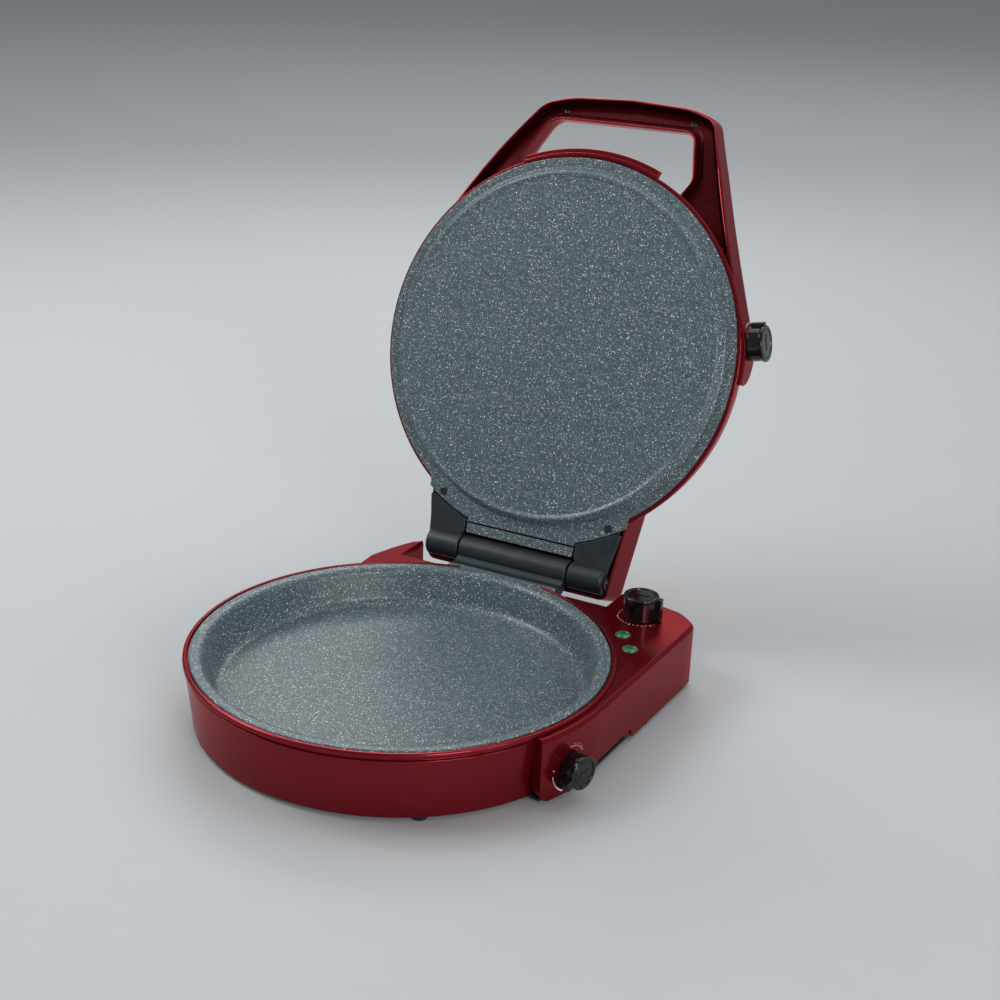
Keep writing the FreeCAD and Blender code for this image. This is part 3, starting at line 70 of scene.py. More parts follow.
class PizzaMakerSizes(bpy.types.PropertyGroup):
    """Sizes in millimetres that more than one surface shares."""

    rim_height: bpy.props.FloatProperty(
        name="Rim height", description="Height of the pan's rim above the table", default=55.0)
    rim_radius: bpy.props.FloatProperty(
        name="Rim radius", description="Outer radius of the pan's rim and the lid plate", default=155.5)
    pan_side: bpy.props.FloatProperty(
        name="Pan side", description="Place of the pan's centre along X in the stored frame", default=-9.1)
    pan_depth: bpy.props.FloatProperty(
        name="Pan depth", description="Place of the pan's centre along Y in the stored frame", default=-114.2)
    lobe_radius: bpy.props.FloatProperty(
        name="Base lobe radius", description="Radius of the base's knob lobe about the pan's centre", default=166.0)
    lid_lobe_radius: bpy.props.FloatProperty(
        name="Lid lobe radius", description="Radius of the lid's knob lobe about the pan's centre", default=162.5)
    lid_base: bpy.props.FloatProperty(
        name="Lid base", description="Height of the lid's lip with the lid shut", default=58.9)
    lid_wall: bpy.props.FloatProperty(
        name="Lid wall", description="Outer radius of the lid's wall", default=157.0)
    platform_height: bpy.props.FloatProperty(
        name="Platform height", description="Height of the control platform", default=52.0)
    hinge_back: bpy.props.FloatProperty(
        name="Hinge distance", description="Distance of the hinge axis behind the pan's centre", default=180.0)
    hinge_height: bpy.props.FloatProperty(
        name="Hinge height", description="Height of the hinge axis above the table", default=59.5)
    barrel_radius: bpy.props.FloatProperty(
        name="Barrel radius", description="Radius of the hinge barrels", default=11.5)
    open_angle: bpy.props.FloatProperty(
        name="Open angle", description="Angle of the lid from shut", default=math.radians(108),
        subtype="ANGLE", unit="ROTATION")
    plate_face: bpy.props.FloatProperty(
        name="Plate face", description="Height of the lid plate's rim with the lid shut", default=55.6)
    lid_top: bpy.props.FloatProperty(
        name="Lid top", description="Height of the lid's crown with the lid shut", default=91.6)


def colour_property(name, description, code):
    return bpy.props.FloatVectorProperty(
        name=name, description=description, default=linear(code), size=4, min=0, max=1, subtype="COLOR")


def linear(code):
    """Linear red, green, blue and alpha of an sRGB hex colour."""
    values = [int(code[i:i + 2], 16) / 255 for i in (1, 3, 5)]
    return [v / 12.92 if v <= 0.04045 else ((v + 0.055) / 1.055) ** 2.4 for v in values] + [1.0]


class PizzaMakerColours(bpy.types.PropertyGroup):
    """Base colours of the finishes."""

    enamel: colour_property("Enamel", "Wine-red enamel of the housings", "#770d1a")
    stone: colour_property("Stone coat", "Slate ground of the non-stick coating", "#4b5b61")
    fleck: colour_property("Flecks", "Pale flecks in the non-stick coating", "#f2f6f5")
    charcoal: colour_property("Hinge metal", "Charcoal cast hinge metal", "#30373c")
    knob: colour_property("Knobs", "Black thermoset of the knobs", "#0c0c0e")
    print_ink: colour_property("Print", "White printed marks", "#d9d2d0")
    lens: colour_property("Lens", "Green translucent lens", "#158048")
    floor: colour_property("Floor", "Pale studio floor", "#b3b7b9")


def sizes():
    return bpy.context.scene.pizza_maker_sizes


def colours():
    return bpy.context.scene.pizza_maker_colours


# Outlines and profiles, in millimetres

def rounded(points, steps=6):
    """A closed polyline whose corners (x, y, radius) are replaced by arcs."""
    result = []
    count = len(points)
    for i, corner in enumerate(points):
        here = Vector(corner[:2])
        radius = corner[2] if len(corner) > 2 else 0
        before = Vector(points[i - 1][:2]) - here
        after = Vector(points[(i + 1) % count][:2]) - here
        if radius <= 0 or before.length < 1e-6 or after.length < 1e-6:
            result.append(tuple(here))
            continue
        turn = before.angle(after)
        if turn > math.pi - 1e-3:
            result.append(tuple(here))
            continue
        reach = min(radius / math.tan(turn / 2), before.length * 0.49, after.length * 0.49)
        radius = reach * math.tan(turn / 2)
        centre = here + (before.normalized() + after.normalized()).normalized() * (radius / math.sin(turn / 2))
        start = here + before.normalized() * reach - centre
        sweep = math.pi - turn
        sign = 1 if before.cross(after) < 0 else -1
        for k in range(steps + 1):
            angle = sign * sweep * k / steps
            c, s = math.cos(angle), math.sin(angle)
            result.append((centre.x + start.x * c - start.y * s, centre.y + start.x * s + start.y * c))
    return result


def arc(radius, first, last, steps, centre=(0, 0)):
    """Points of an arc, with its angles in degrees."""
    angles = [math.radians(first + (last - first) * k / steps) for k in range(steps + 1)]
    return [(centre[0] + radius * math.cos(a), centre[1] + radius * math.sin(a)) for a in angles]


def resample(points, count):
    """The same polyline as that many evenly spaced points."""
    lengths = [0.0]
    for a, b in zip(points, points[1:]):
        lengths.append(lengths[-1] + math.dist(a, b))
    result = []
    part = 0
    for k in range(count):
        goal = lengths[-1] * k / (count - 1)
        while part < len(points) - 2 and lengths[part + 1] < goal:
            part += 1
        span = lengths[part + 1] - lengths[part]
        share = (goal - lengths[part]) / span if span > 1e-9 else 0
        a, b = points[part], points[part + 1]
        result.append(tuple(p + (q - p) * share for p, q in zip(a, b)))
    return result


def mirrored(points):
    """The points followed by their mirror images about the Y axis, in reverse order."""
    return list(points) + [(-x, *rest) for x, *rest in reversed(points) if x > 1e-6]


def area(points):
    return sum(a[0] * b[1] - b[0] * a[1] for a, b in zip(points, points[1:] + points[:1])) / 2


def inset(points, distance):
    """A closed outline moved inwards, with its corners mitred."""
    sign = 1 if area(points) > 0 else -1
    result = []
    for i, here in enumerate(points):
        a = Vector(here) - Vector(points[i - 1])
        b = Vector(points[(i + 1) % len(points)]) - Vector(here)
        na = Vector((-a.y, a.x)).normalized() * sign
        nb = Vector((-b.y, b.x)).normalized() * sign
        normal = na + nb
        scale = max(normal.length_squared / 2, 0.35)
        move = normal / scale * distance
        result.append((here[0] + move.x, here[1] + move.y))
    return result


# Meshes

def placed():
    """From millimetres about the pan's centre to metres in the stored frame."""
    s = sizes()
    return Matrix.Scale(SCALE, 4) @ Matrix.Translation((s.pan_side, s.pan_depth, 0))


def new_object(name, bm, material, body=None, turn=None, node=None):
    """Finish a mesh drawn in millimetres, and tie it to its moving body and finish."""
    bmesh.ops.remove_doubles(bm, verts=bm.verts, dist=1e-4)
    bmesh.ops.recalc_face_normals(bm, faces=bm.faces)
    matrix = placed() @ (turn or Matrix.Identity(4))
    bm.transform(matrix)
    mesh = bpy.data.meshes.new(name)
    bm.to_mesh(mesh)
    bm.free()
    mesh.shade_smooth()
    mesh.set_sharp_from_angle(angle=SMOOTH_ANGLE)
    obj = bpy.data.objects.new(name, mesh)
    bpy.context.scene.collection.objects.link(obj)
    obj.data.materials.append(material)
    weighted = obj.modifiers.new("Even normals", "WEIGHTED_NORMAL")
    weighted.keep_sharp = True
    weighted.weight = 80
    if body:
        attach(obj, body)
    if node:
        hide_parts(*([node] if isinstance(node, str) else node))
    return obj


def skin(bm, rings, closed=True, cap_start=False, cap_end=False):
    """Join rings of equal length with quads."""
    rows = [[bm.verts.new(p) for p in ring] for ring in rings]
    count = len(rows[0])
    for a, b in zip(rows, rows[1:]):
        for i in range(count if closed else count - 1):
            j = (i + 1) % count
            bm.faces.new((a[i], a[j], b[j], b[i]))
    if cap_start:
        bm.faces.new(list(reversed(rows[0])))
    if cap_end:
        bm.faces.new(rows[-1])
    return rows


def lathe(profile, steps=180, wave=None):
    """Turn a closed profile of (radius, height) about Z. A wave changes the radius with the angle."""
    bm = bmesh.new()
    columns = []
    for k in range(steps):
        angle = 2 * math.pi * k / steps
        column = []
        for radius, height in profile:
            r = wave(radius, height, angle) if wave else radius
            column.append((r * math.cos(angle), r * math.sin(angle), height))
        columns.append(column)
    rows = [[bm.verts.new(p) for p in column] for column in columns]
    count = len(profile)
    for k in range(steps):
        a, b = rows[k], rows[(k + 1) % steps]
        for i in range(count):
            j = (i + 1) % count
            on_axis = [profile[i][0] < 1e-6, profile[j][0] < 1e-6]
            if all(on_axis):
                continue
            if on_axis[0]:
                bm.faces.new((a[i], a[j], b[j]))
            elif on_axis[1]:
                bm.faces.new((a[i], a[j], b[i]))
            else:
                bm.faces.new((a[i], a[j], b[j], b[i]))
    return bm


def prism(outline, levels, lift=None, share=None):
    """Stack an outline at (inset, height) levels and cap both ends. Points may take a share of the inset."""
    if area(outline) < 0:
        outline = list(reversed(outline))
    bm = bmesh.new()
    rings = []
    for distance, height in levels:
        shape = inset(outline, distance) if abs(distance) > 1e-9 else outline
        if share:
            shape = [Vector(a).lerp(b, share(*a)) for a, b in zip(outline, shape)]
        rings.append([(x, y, lift(x, y, height) if lift else height) for x, y in shape])
    skin(bm, rings, cap_start=True, cap_end=True)
    return bm


def edge_levels(low, high, soft=0.8, steps=3):
    """Levels of a prism whose two rims are rounded."""
    curve = [math.pi / 2 * k / steps for k in range(steps + 1)]
    bottom = [(soft * (1 - math.sin(a)), low + soft * (1 - math.cos(a))) for a in curve]
    top = [(soft * (1 - math.sin(a)), high - soft * (1 - math.cos(a))) for a in reversed(curve)]
    return bottom + top


def along_x(bm):
    """Lay a mesh drawn in (depth, height, length) along X."""
    bm.transform(Matrix(((0, 0, 1, 0), (1, 0, 0, 0), (0, 1, 0, 0), (0, 0, 0, 1))))
    return bm


def carve(obj, cutter_mesh):
    """Take a box or block away from a finished piece."""
    mesh = bpy.data.meshes.new("cutter")
    cutter_mesh.transform(placed())
    cutter_mesh.to_mesh(mesh)
    cutter_mesh.free()
    cutter = bpy.data.objects.new("cutter", mesh)
    bpy.context.scene.collection.objects.link(cutter)
    saved = obj.parent, obj.matrix_parent_inverse.copy()
    modifier = obj.modifiers.new("Carve", "BOOLEAN")
    modifier.object = cutter
    modifier.operation = "DIFFERENCE"
    modifier.solver = "EXACT"
    while obj.modifiers[0] != modifier:
        obj.modifiers.move(len(obj.modifiers) - 1, 0)
    graph = bpy.context.evaluated_depsgraph_get()
    others = [m for m in obj.modifiers if m != modifier]
    for m in others:
        m.show_viewport = False
    graph.update()
    carved = bpy.data.meshes.new_from_object(obj.evaluated_get(graph))
    for m in others:
        m.show_viewport = True
    obj.modifiers.remove(modifier)
    carved.name = obj.data.name
    obj.data = carved
    obj.data.set_sharp_from_angle(angle=SMOOTH_ANGLE)
    bpy.data.objects.remove(cutter)
    return saved


def block(low, high):
    bm = bmesh.new()
    bmesh.ops.create_cube(bm, size=1)
    centre = [(a + b) / 2 for a, b in zip(low, high)]
    span = [b - a for a, b in zip(low, high)]
    bm.transform(Matrix.Translation(centre) @ Matrix.Diagonal((*span, 1)))
    return bm


def lid_turn():
    """The lid's swing from shut to open about the hinge axis, in millimetres."""
    s = sizes()
    pivot = Vector((0, s.hinge_back, s.hinge_height))
    return Matrix.Translation(pivot) @ Matrix.Rotation(-s.open_angle, 4, "X") @ Matrix.Translation(-pivot)


def radial(angle, radius, height):
    """A frame whose Z axis points away from the pan's centre, angle degrees right of it."""
    turn = math.radians(angle)
    out = Vector((math.cos(turn), -math.sin(turn), 0))
    side = Vector((0, 0, 1)).cross(out)
    matrix = Matrix((side, Vector((0, 0, 1)), out)).transposed().to_4x4()
    return Matrix.Translation(out * radius + Vector((0, 0, height))) @ matrix


# Finishes

class Finish:
    """A material under construction: its shader, and a short way to add and join nodes."""

    def __init__(self, name):
        self.material = bpy.data.materials.new(name)
        self.material.use_nodes = True
        self.tree = self.material.node_tree
        self.shader = self.tree.nodes["Principled BSDF"]
        place = self.tree.nodes.new("ShaderNodeTexCoord")
        self.place = place.outputs["Object"]

    def add(self, kind, settings=None, **inputs):
        node = self.tree.nodes.new(kind)
        for key, value in (settings or {}).items():
            setattr(node, key, value)
        for key, value in inputs.items():
            socket = node.inputs[int(key[1:])] if key[1:].isdigit() else node.inputs[key.replace("_", " ")]
            if isinstance(value, bpy.types.NodeSocket):
                self.tree.links.new(value, socket)
            else:
                socket.default_value = value
        return node

    def set(self, **inputs):
        for key, value in inputs.items():
            socket = self.shader.inputs[key.replace("_", " ")]
            if isinstance(value, bpy.types.NodeSocket):
                self.tree.links.new(value, socket)
            else:
                socket.default_value = value
        return self

    def noise(self, size_mm, detail=3.0, roughness=0.5):
        """Soft noise whose blotches are about that many millimetres across."""
        node = self.add("ShaderNodeTexNoise", None, Vector=self.place, Scale=1000 / size_mm,
                        Detail=detail, Roughness=roughness)
        return node.outputs["Fac"]

    def ramp(self, value, low, high, dark=0.0, bright=1.0):
        node = self.add("ShaderNodeMapRange", None, Value=value)
        node.inputs["From Min"].default_value = low
        node.inputs["From Max"].default_value = high
        node.inputs["To Min"].default_value = dark
        node.inputs["To Max"].default_value = bright
        return node.outputs["Result"]

    def mix(self, share, first, second):
        node = self.add("ShaderNodeMix", {"data_type": "RGBA"})
        for index, value in ((0, share), (6, first), (7, second)):
            if isinstance(value, bpy.types.NodeSocket):
                self.tree.links.new(value, node.inputs[index])
            else:
                node.inputs[index].default_value = value
        return node.outputs[2]

    def bump(self, height, strength, distance_mm):
        node = self.add("ShaderNodeBump", None, Height=height, Strength=strength,
                        Distance=distance_mm * SCALE)
        self.set(Normal=node.outputs["Normal"])
        return self

    def cells(self, size_mm, share, radius):
        """Round specks: one in each of a share of the cells, with blurred rims."""
        warp = self.add("ShaderNodeTexNoise", None, Vector=self.place, Scale=1000 / size_mm)
        moved = self.add("ShaderNodeVectorMath", {"operation": "MULTIPLY_ADD"})
        self.tree.links.new(warp.outputs["Color"], moved.inputs[0])
        moved.inputs[1].default_value = (size_mm * SCALE * 0.7,) * 3
        self.tree.links.new(self.place, moved.inputs[2])
        cell = self.add("ShaderNodeTexVoronoi", None, Vector=moved.outputs[0], Scale=1000 / size_mm)
        split = self.add("ShaderNodeSeparateColor", None, Color=cell.outputs["Color"])
        chosen = self.add("ShaderNodeMath", {"operation": "LESS_THAN"}, _0=split.outputs[0], _1=share)
        size = self.ramp(split.outputs[1], 0, 1, radius * 0.45, radius)
        edge = self.add("ShaderNodeMath", {"operation": "SUBTRACT"}, _0=size, _1=cell.outputs["Distance"])
        soft = self.ramp(edge.outputs[0], 0, 0.08)
        both = self.add("ShaderNodeMath", {"operation": "MULTIPLY"}, _0=chosen.outputs[0], _1=soft)
        return both.outputs[0]


def enamel_finish():
    """Moulded shell sprayed with metallic wine-red lacquer: deep colour face on, pale rose at grazing."""
    f = Finish("Metallic red lacquer")
    tint = f.mix(f.ramp(f.noise(0.35, 1.0), 0.35, 0.65), [c * 0.92 for c in colours().enamel[:3]] + [1],
                 [min(1, c * 1.08) for c in colours().enamel[:3]] + [1])
    f.set(Base_Color=tint, Metallic=0.75, Roughness=f.ramp(f.noise(40), 0.3, 0.7, 0.24, 0.31))
    f.set(Specular_Tint=linear("#ffa4ac"), Coat_Weight=0.25, Coat_Roughness=0.05)
    return f.bump(f.noise(1.2, 2.0), 0.015, 0.05).material


def stone_finish():
    """Cast aluminium with a sprayed stone-look coating: slate ground, pale flecks and dark specks."""
    f = Finish("Stone non-stick coating")
    ground = f.mix(f.ramp(f.noise(2.5, 4.0), 0.35, 0.65), [c * 0.72 for c in colours().stone[:3]] + [1],
                   [c * 1.12 for c in colours().stone[:3]] + [1])
    dark = f.mix(f.cells(1.4, 0.3, 0.36), ground, linear("#232b2f"))
    dust = f.mix(f.cells(0.9, 0.5, 0.36), dark, linear("#9fadb1"))
    fine = f.mix(f.cells(1.1, 0.5, 0.36), dust, linear("#dfe6e6"))
    large = f.cells(1.75, 0.36, 0.31)
    f.set(Base_Color=f.mix(large, fine, list(colours().fleck)))
    f.set(Metallic=0.0, Roughness=f.ramp(f.noise(3.0), 0.3, 0.7, 0.34, 0.46), IOR=1.5)
    return f.bump(f.noise(1.6, 3.0), 0.18, 0.12).material


def charcoal_finish():
    """Sand-cast alloy with a baked charcoal coat: fine cast grain and a broad sheen."""
    f = Finish("Charcoal cast alloy")
    tint = f.mix(f.ramp(f.noise(14.0, 4.0), 0.3, 0.7), [c * 0.8 for c in colours().charcoal[:3]] + [1],
                 [c * 1.2 for c in colours().charcoal[:3]] + [1])
    f.set(Base_Color=tint, Metallic=0.55, Roughness=f.ramp(f.noise(5.0), 0.3, 0.7, 0.36, 0.5))
    return f.bump(f.noise(0.9, 3.0), 0.25, 0.06).material


def knob_finish():
    """Compression-moulded phenolic: near black, with a polished skin."""
    f = Finish("Polished black phenolic")
    f.set(Base_Color=list(colours().knob), IOR=1.5, Roughness=f.ramp(f.noise(8.0), 0.3, 0.7, 0.09, 0.15))
    return f.bump(f.noise(2.0), 0.02, 0.05).material


def matte_finish(name, code, roughness=0.6):
    """Injection-moulded plastic or rubber straight from a spark-eroded tool: an even, fine matte grain."""
    f = Finish(name)
    f.set(Base_Color=linear(code), IOR=1.5, Roughness=f.ramp(f.noise(4.0), 0.3, 0.7, roughness - 0.06,
                                                             roughness + 0.06))
    return f.bump(f.noise(0.4, 2.0), 0.3, 0.04).material


def metal_finish(name, code, roughness, grain_mm=1.2):
    """Pressed or turned metal: faint grain that spreads the highlight."""
    f = Finish(name)
    f.set(Base_Color=linear(code), Metallic=1.0,
          Roughness=f.ramp(f.noise(grain_mm, 4.0), 0.3, 0.7, roughness * 0.8, roughness * 1.2))
    return f.bump(f.noise(grain_mm, 3.0), 0.08, 0.03).material


def painted_shade_red_finish():
    """The wine-red lacquer darkened for the handle's underside cover: painted shade for the shade under the handle,
    satin beside the sprayed shell.
    """
    f = Finish("Red lacquer with painted shade")
    # Base colour #3e060c is painted shade: the enamel darkened where the handle's underside lies in shade.
    f.set(Base_Color=linear("#3e060c"), Metallic=0.5, Specular_Tint=linear("#ff8088"),
          Roughness=f.ramp(f.noise(5.0), 0.3, 0.7, 0.24, 0.32))
    return f.bump(f.noise(0.6, 2.0), 0.1, 0.03).material


def print_finish():
    """Pad-printed white ink: a thin matte film."""
    f = Finish("White printed ink")
    f.set(Base_Color=list(colours().print_ink), Roughness=f.ramp(f.noise(0.6), 0.3, 0.7, 0.5, 0.62), IOR=1.45)
    return f.material


def lens_finish():
    """Green dyed polycarbonate: light enters and glows inside."""
    f = Finish("Green dyed polycarbonate")
    f.set(Base_Color=list(colours().lens), IOR=1.58, Transmission_Weight=0.35,
          Roughness=f.ramp(f.noise(1.5), 0.3, 0.7, 0.1, 0.18), Subsurface_Weight=0.4,
          Subsurface_Radius=(0.001, 0.003, 0.0015), Coat_Weight=0.6)
    return f.material


FINISHES = {
    "red_enamel": enamel_finish,
    "stone_coat": stone_finish,
    "charcoal_cast": charcoal_finish,
    "black_knob": knob_finish,
    "black_inner": lambda: matte_finish("Black moulded plastic", "#17181a", 0.55),
    "foot_rubber": lambda: matte_finish("Black moulded rubber", "#101011", 0.78),
    "green_lens": lens_finish,
    "steel": lambda: metal_finish("Zinc-plated steel", "#b4b7ba", 0.3),
    "dark_screw": lambda: metal_finish("Blackened steel", "#4a4d51", 0.3),
    "heater_sheath": lambda: metal_finish("Oxidised heater sheath", "#4b4642", 0.5),
    "reflector": lambda: metal_finish("Pressed bright aluminium", "#d3d5d6", 0.25, 3.0),
    "brass_bell": lambda: metal_finish("Pressed brass", "#c9a24a", 0.28),
    # Red with painted shade, used on the handle's underside.
    "painted_shade_red": painted_shade_red_finish,
    "print": print_finish,
}
made_finishes = {}


def finish(name):
    if name not in made_finishes:
        made_finishes[name] = FINISHES[name]()
    return made_finishes[name]


# Base

def deck_right():
    """Plan of the side panel and control platform, outside the pan's lip."""
    s = sizes()
    lobe = s.lobe_radius
    inner = s.rim_radius + 1.6
    outer = [(lobe * math.cos(math.radians(-23.5)), lobe * math.sin(math.radians(-23.5)))]
    outer += arc(lobe, -23.2, -20, 12) + arc(lobe, -19, -1, 14)
    outer += resample([outer[-1], (169.4, 146)], 60)[1:]
    outer += rounded([(169.4, 146), (168.9, 163, 17), (152, 177, 22), (136, 180.5, 8), (96.2, 183.5)], 8)[1:]
    start = math.degrees(math.acos(60 / inner))
    outer += [(96.2, 153), (60, 153)]
    return outer + arc(inner, start, -23.5, 50)


def outer_edge(x, y):
    """Share of the rim's rounding: all of it outside, none beside the lip and the hinge recess."""
    if math.hypot(x, y) < sizes().rim_radius + 2 or (abs(x) < 97 and y < 153.5):
        return 0
    return 0.2 if abs(x) < 97 else 1


def deck_left():
    """Plan of the narrow tail on the left."""
    inner = sizes().rim_radius + 1.6
    start = [(-60, 153), (-96.2, 153), (-96.2, 190)]
    outer = rounded([(-96.2, 190), (-104.5, 185.5, 10), (-112, 165, 30), (-118.5, 140, 30), (-117.2, 121, 6),
                     (-108, 114)], 8)[1:]
    return start + outer + arc(inner, 133.5, math.degrees(math.acos(-60 / inner)), 30)


def skirt_lift(x, y, height):
    """Raise the panel's lower edge over the cable notch, and round its lower front corner."""
    if height > 20:
        return height
    if y < -40:
        from_front = math.hypot(x, y) * (math.atan2(y, x) + math.radians(23.5))
        short = min(9, max(0, 9 - from_front))
        return height + 9 - math.sqrt(81 - short * short)
    if x < 155:
        return height
    ramp = min(1, max(0, (y + 8) / 4)) * min(1, max(0, (54 - y) / 4))
    return height + 7.5 * ramp * ramp * (3 - 2 * ramp)


def bolt_on(obj_name, bm, finish_name, body, node=None, turn=None):
    return new_object(obj_name, bm, finish(finish_name),
                      body, turn, node)


class PIZZAMAKER_OT_base(bpy.types.Operator):
    """Round tub with its lipped rim, the side panel and platform, the left tail and the hinge shelf"""

    bl_idname = "pizza_maker.base"
    bl_label = "Build base"

    def execute(self, context):
        s = sizes()
        top = s.rim_height
        lip = s.rim_radius + 1.2
        profile = rounded([
            (150.8, 3.2), (153.6, 3.0, 3.2), (158.2, top - 6.6, 0.6), (156.9, top - 5.6, 0.4),
            (156.9, top - 4.4, 0.4), (159.9, top - 3.9, 1.6), (159.6, top, 1.8), (lip, top, 0.7),
            (lip, top - 2.9, 0.3), (151.8, top - 3.0), (150.8, top - 8)], 5)
        tub = lathe(profile, 240)
        cut = bmesh.ops.bisect_plane(tub, geom=tub.verts[:] + tub.edges[:] + tub.faces[:],
                                     plane_co=(0, 153, 0), plane_no=(0, 1, 0), clear_outer=True)
        edges = [e for e in cut["geom_cut"] if isinstance(e, bmesh.types.BMEdge)]
        bmesh.ops.edgenet_fill(tub, edges=edges)
        bolt_on("base_tub", tub, "red_enamel", "base", node="base_housing")
        deck = s.platform_height
        levels = [(0.9, 3.0), (0.3, 3.25), (0, 3.9), (0, deck - 3.2), (0.12, deck - 2.75), (0.4, deck - 2.35),
                  (2.0, deck - 0.5), (2.4, deck - 0.15), (3.0, deck)]
        bolt_on("base_side_panel", prism(deck_right(), levels, skirt_lift, outer_edge), "red_enamel", "base")
        bolt_on("base_left_tail", prism(deck_left(), levels, share=outer_edge), "red_enamel", "base")
        shelf = rounded([(-97, 152), (97, 152), (97, 172), (90, 181, 8), (-90, 181, 8), (-97, 172)], 6)
        bolt_on("base_hinge_shelf", prism(shelf, edge_levels(3.2, 8.0, 1.0)), "red_enamel", "base")
        return {"FINISHED"}


class PIZZAMAKER_OT_pan(bpy.types.Operator):
    """Deep pan with a soft floor corner, a rolled flange and the rear tab"""

    bl_idname = "pizza_maker.pan"
    bl_label = "Build pan"

    def execute(self, context):
        top = sizes().rim_height
        edge = sizes().rim_radius
        profile = rounded([
            (0, top - 29), (138.6, top - 29, 8), (145.6, top, 6.5), (edge, top, 1.3), (edge, top - 2.8, 0.6),
            (150.5, top - 3.0, 3), (142.0, top - 32, 8), (0, top - 32)], 10)
        bolt_on("pan_dish", lathe(profile, 240), "stone_coat", "base", node="lower_pan")
        tab = rounded([(-50, 152), (50, 152), (50, 157.4, 2.2), (-50, 157.4, 2.2)], 5)
        bolt_on("pan_tab", prism(tab, edge_levels(top - 2.9, top - 0.06, 0.7)), "stone_coat", "base")
        return {"FINISHED"}


class PIZZAMAKER_OT_feet(bpy.types.Operator):
    """Four moulded feet with a soft tread edge"""

    bl_idname = "pizza_maker.feet"
    bl_label = "Build feet"

    def execute(self, context):
        for number, (x, y) in enumerate(((88.1, -116.9), (-88.1, -116.9), (148, 145.7), (-105.95, 163.9)), start=1):
            profile = rounded([(0, 0), (6.0, 0, 0.8), (7.0, 3.0, 0.3), (0, 3.0)], 4)
            bm = lathe(profile, 40)
            bolt_on("foot_%d" % number, bm, "foot_rubber", "base", turn=Matrix.Translation((x, y, 0)),
                    node="rubber_feet" if number == 1 else None)
        return {"FINISHED"}


# Hinge

def barrel(points, low, high, soft):
    """A round barrel along X with softened ends."""
    s = sizes()
    profile = rounded([(0, low), (s.barrel_radius, low, soft[0]), (s.barrel_radius, high, soft[1]), (0, high)], 6)
    bm = lathe(profile, points)
    along_x(bm)
    bm.transform(Matrix.Translation((0, s.hinge_back, s.hinge_height)))
    return bm


class PIZZAMAKER_OT_hinge(bpy.types.Operator):
    """Centre knuckle with its concave web, and the two lid ears"""

    bl_idname = "pizza_maker.hinge"
    bl_label = "Build hinge"

    def execute(self, context):
        s = sizes()
        back, height, radius = s.hinge_back, s.hinge_height, s.barrel_radius
        side = rounded([(151.4, 43.6), (161, 43.6, 5), (back - 4.9, height - 10.4)], 6)[:-1]
        side += arc(radius, -117, 192, 40, (back, height))
        side += rounded([(back - 11.25, height - 2.4), (163.5, 54.4, 6), (157.9, 54.3, 0.6), (157.9, 51.8)], 6)[1:]
        side += [(151.4, 51.8)]
        knuckle = prism(side, edge_levels(-50, 50, 1.0))
        bolt_on("hinge_knuckle_block", along_x(knuckle), "charcoal_cast", "base", node="hinge_knuckle")
        face = s.plate_face
        for name, hand in (("left", -1), ("right", 1)):
            rim = [(162.9 * math.cos(math.radians(a)), 162.9 * math.sin(math.radians(a)))
                   for a in [71.6 - k * 1.5 for k in range(10)]]
            plan = rounded([(51.6, rim[0][1]), (51.6, 165.5, 2.5), (54.5, 171, 3), (54.5, 176), (82.4, 176),
                            (82.9, 172), (89.0, rim[-1][1] + 0.6, 1.2)], 4)
            plan = [(x * hand, y) for x, y in plan + list(reversed(rim))[1:-1]]
            plate = prism(plan, edge_levels(face, face + 4.6, 0.7))
            bolt_on(name + "_ear_face", plate, "charcoal_cast", "lid", turn=lid_turn(), node=name + "_hinge_ear")
            ends = (51.6, 82.5) if hand > 0 else (-82.5, -51.6)
            soft = (0.9, 2.6) if hand > 0 else (2.6, 0.9)
            bolt_on(name + "_ear_barrel", barrel(64, *ends, soft), "charcoal_cast", "lid", turn=lid_turn())
            foot = rounded([(x * hand, y) for x, y in ((65, 131), (86, 131), (86, 150), (65, 154))], 3)
            bolt_on(name + "_ear_foot", prism(foot, edge_levels(58.7, 62.6, 0.8)), "charcoal_cast", "lid",
                    turn=lid_turn())
        return {"FINISHED"}


# Lid

def plate_outline():
    """Outer edge of the lid plate, with its reach over the hinge ears and its centre tongue."""
    edge = sizes().rim_radius
    reach = edge + 6.5
    right = [(91.4, -1), (reach * math.cos(math.radians(55.65)), reach * math.sin(math.radians(55.65)))]
    start = math.degrees(math.acos(91.4 / edge))
    points = arc(edge, -90, start - 0.3, 130)
    points += arc(reach, 55.65, 72.0, 18)[0:]
    half = [(x, y) for x, y in points if x > 0.01]
    half += [(50.0, reach * math.sin(math.radians(72.0))), (50.0, 156.9), (25.0, 156.9)]
    return half + [(0, 156.9)] + [(-x, y) for x, y in reversed(half)]


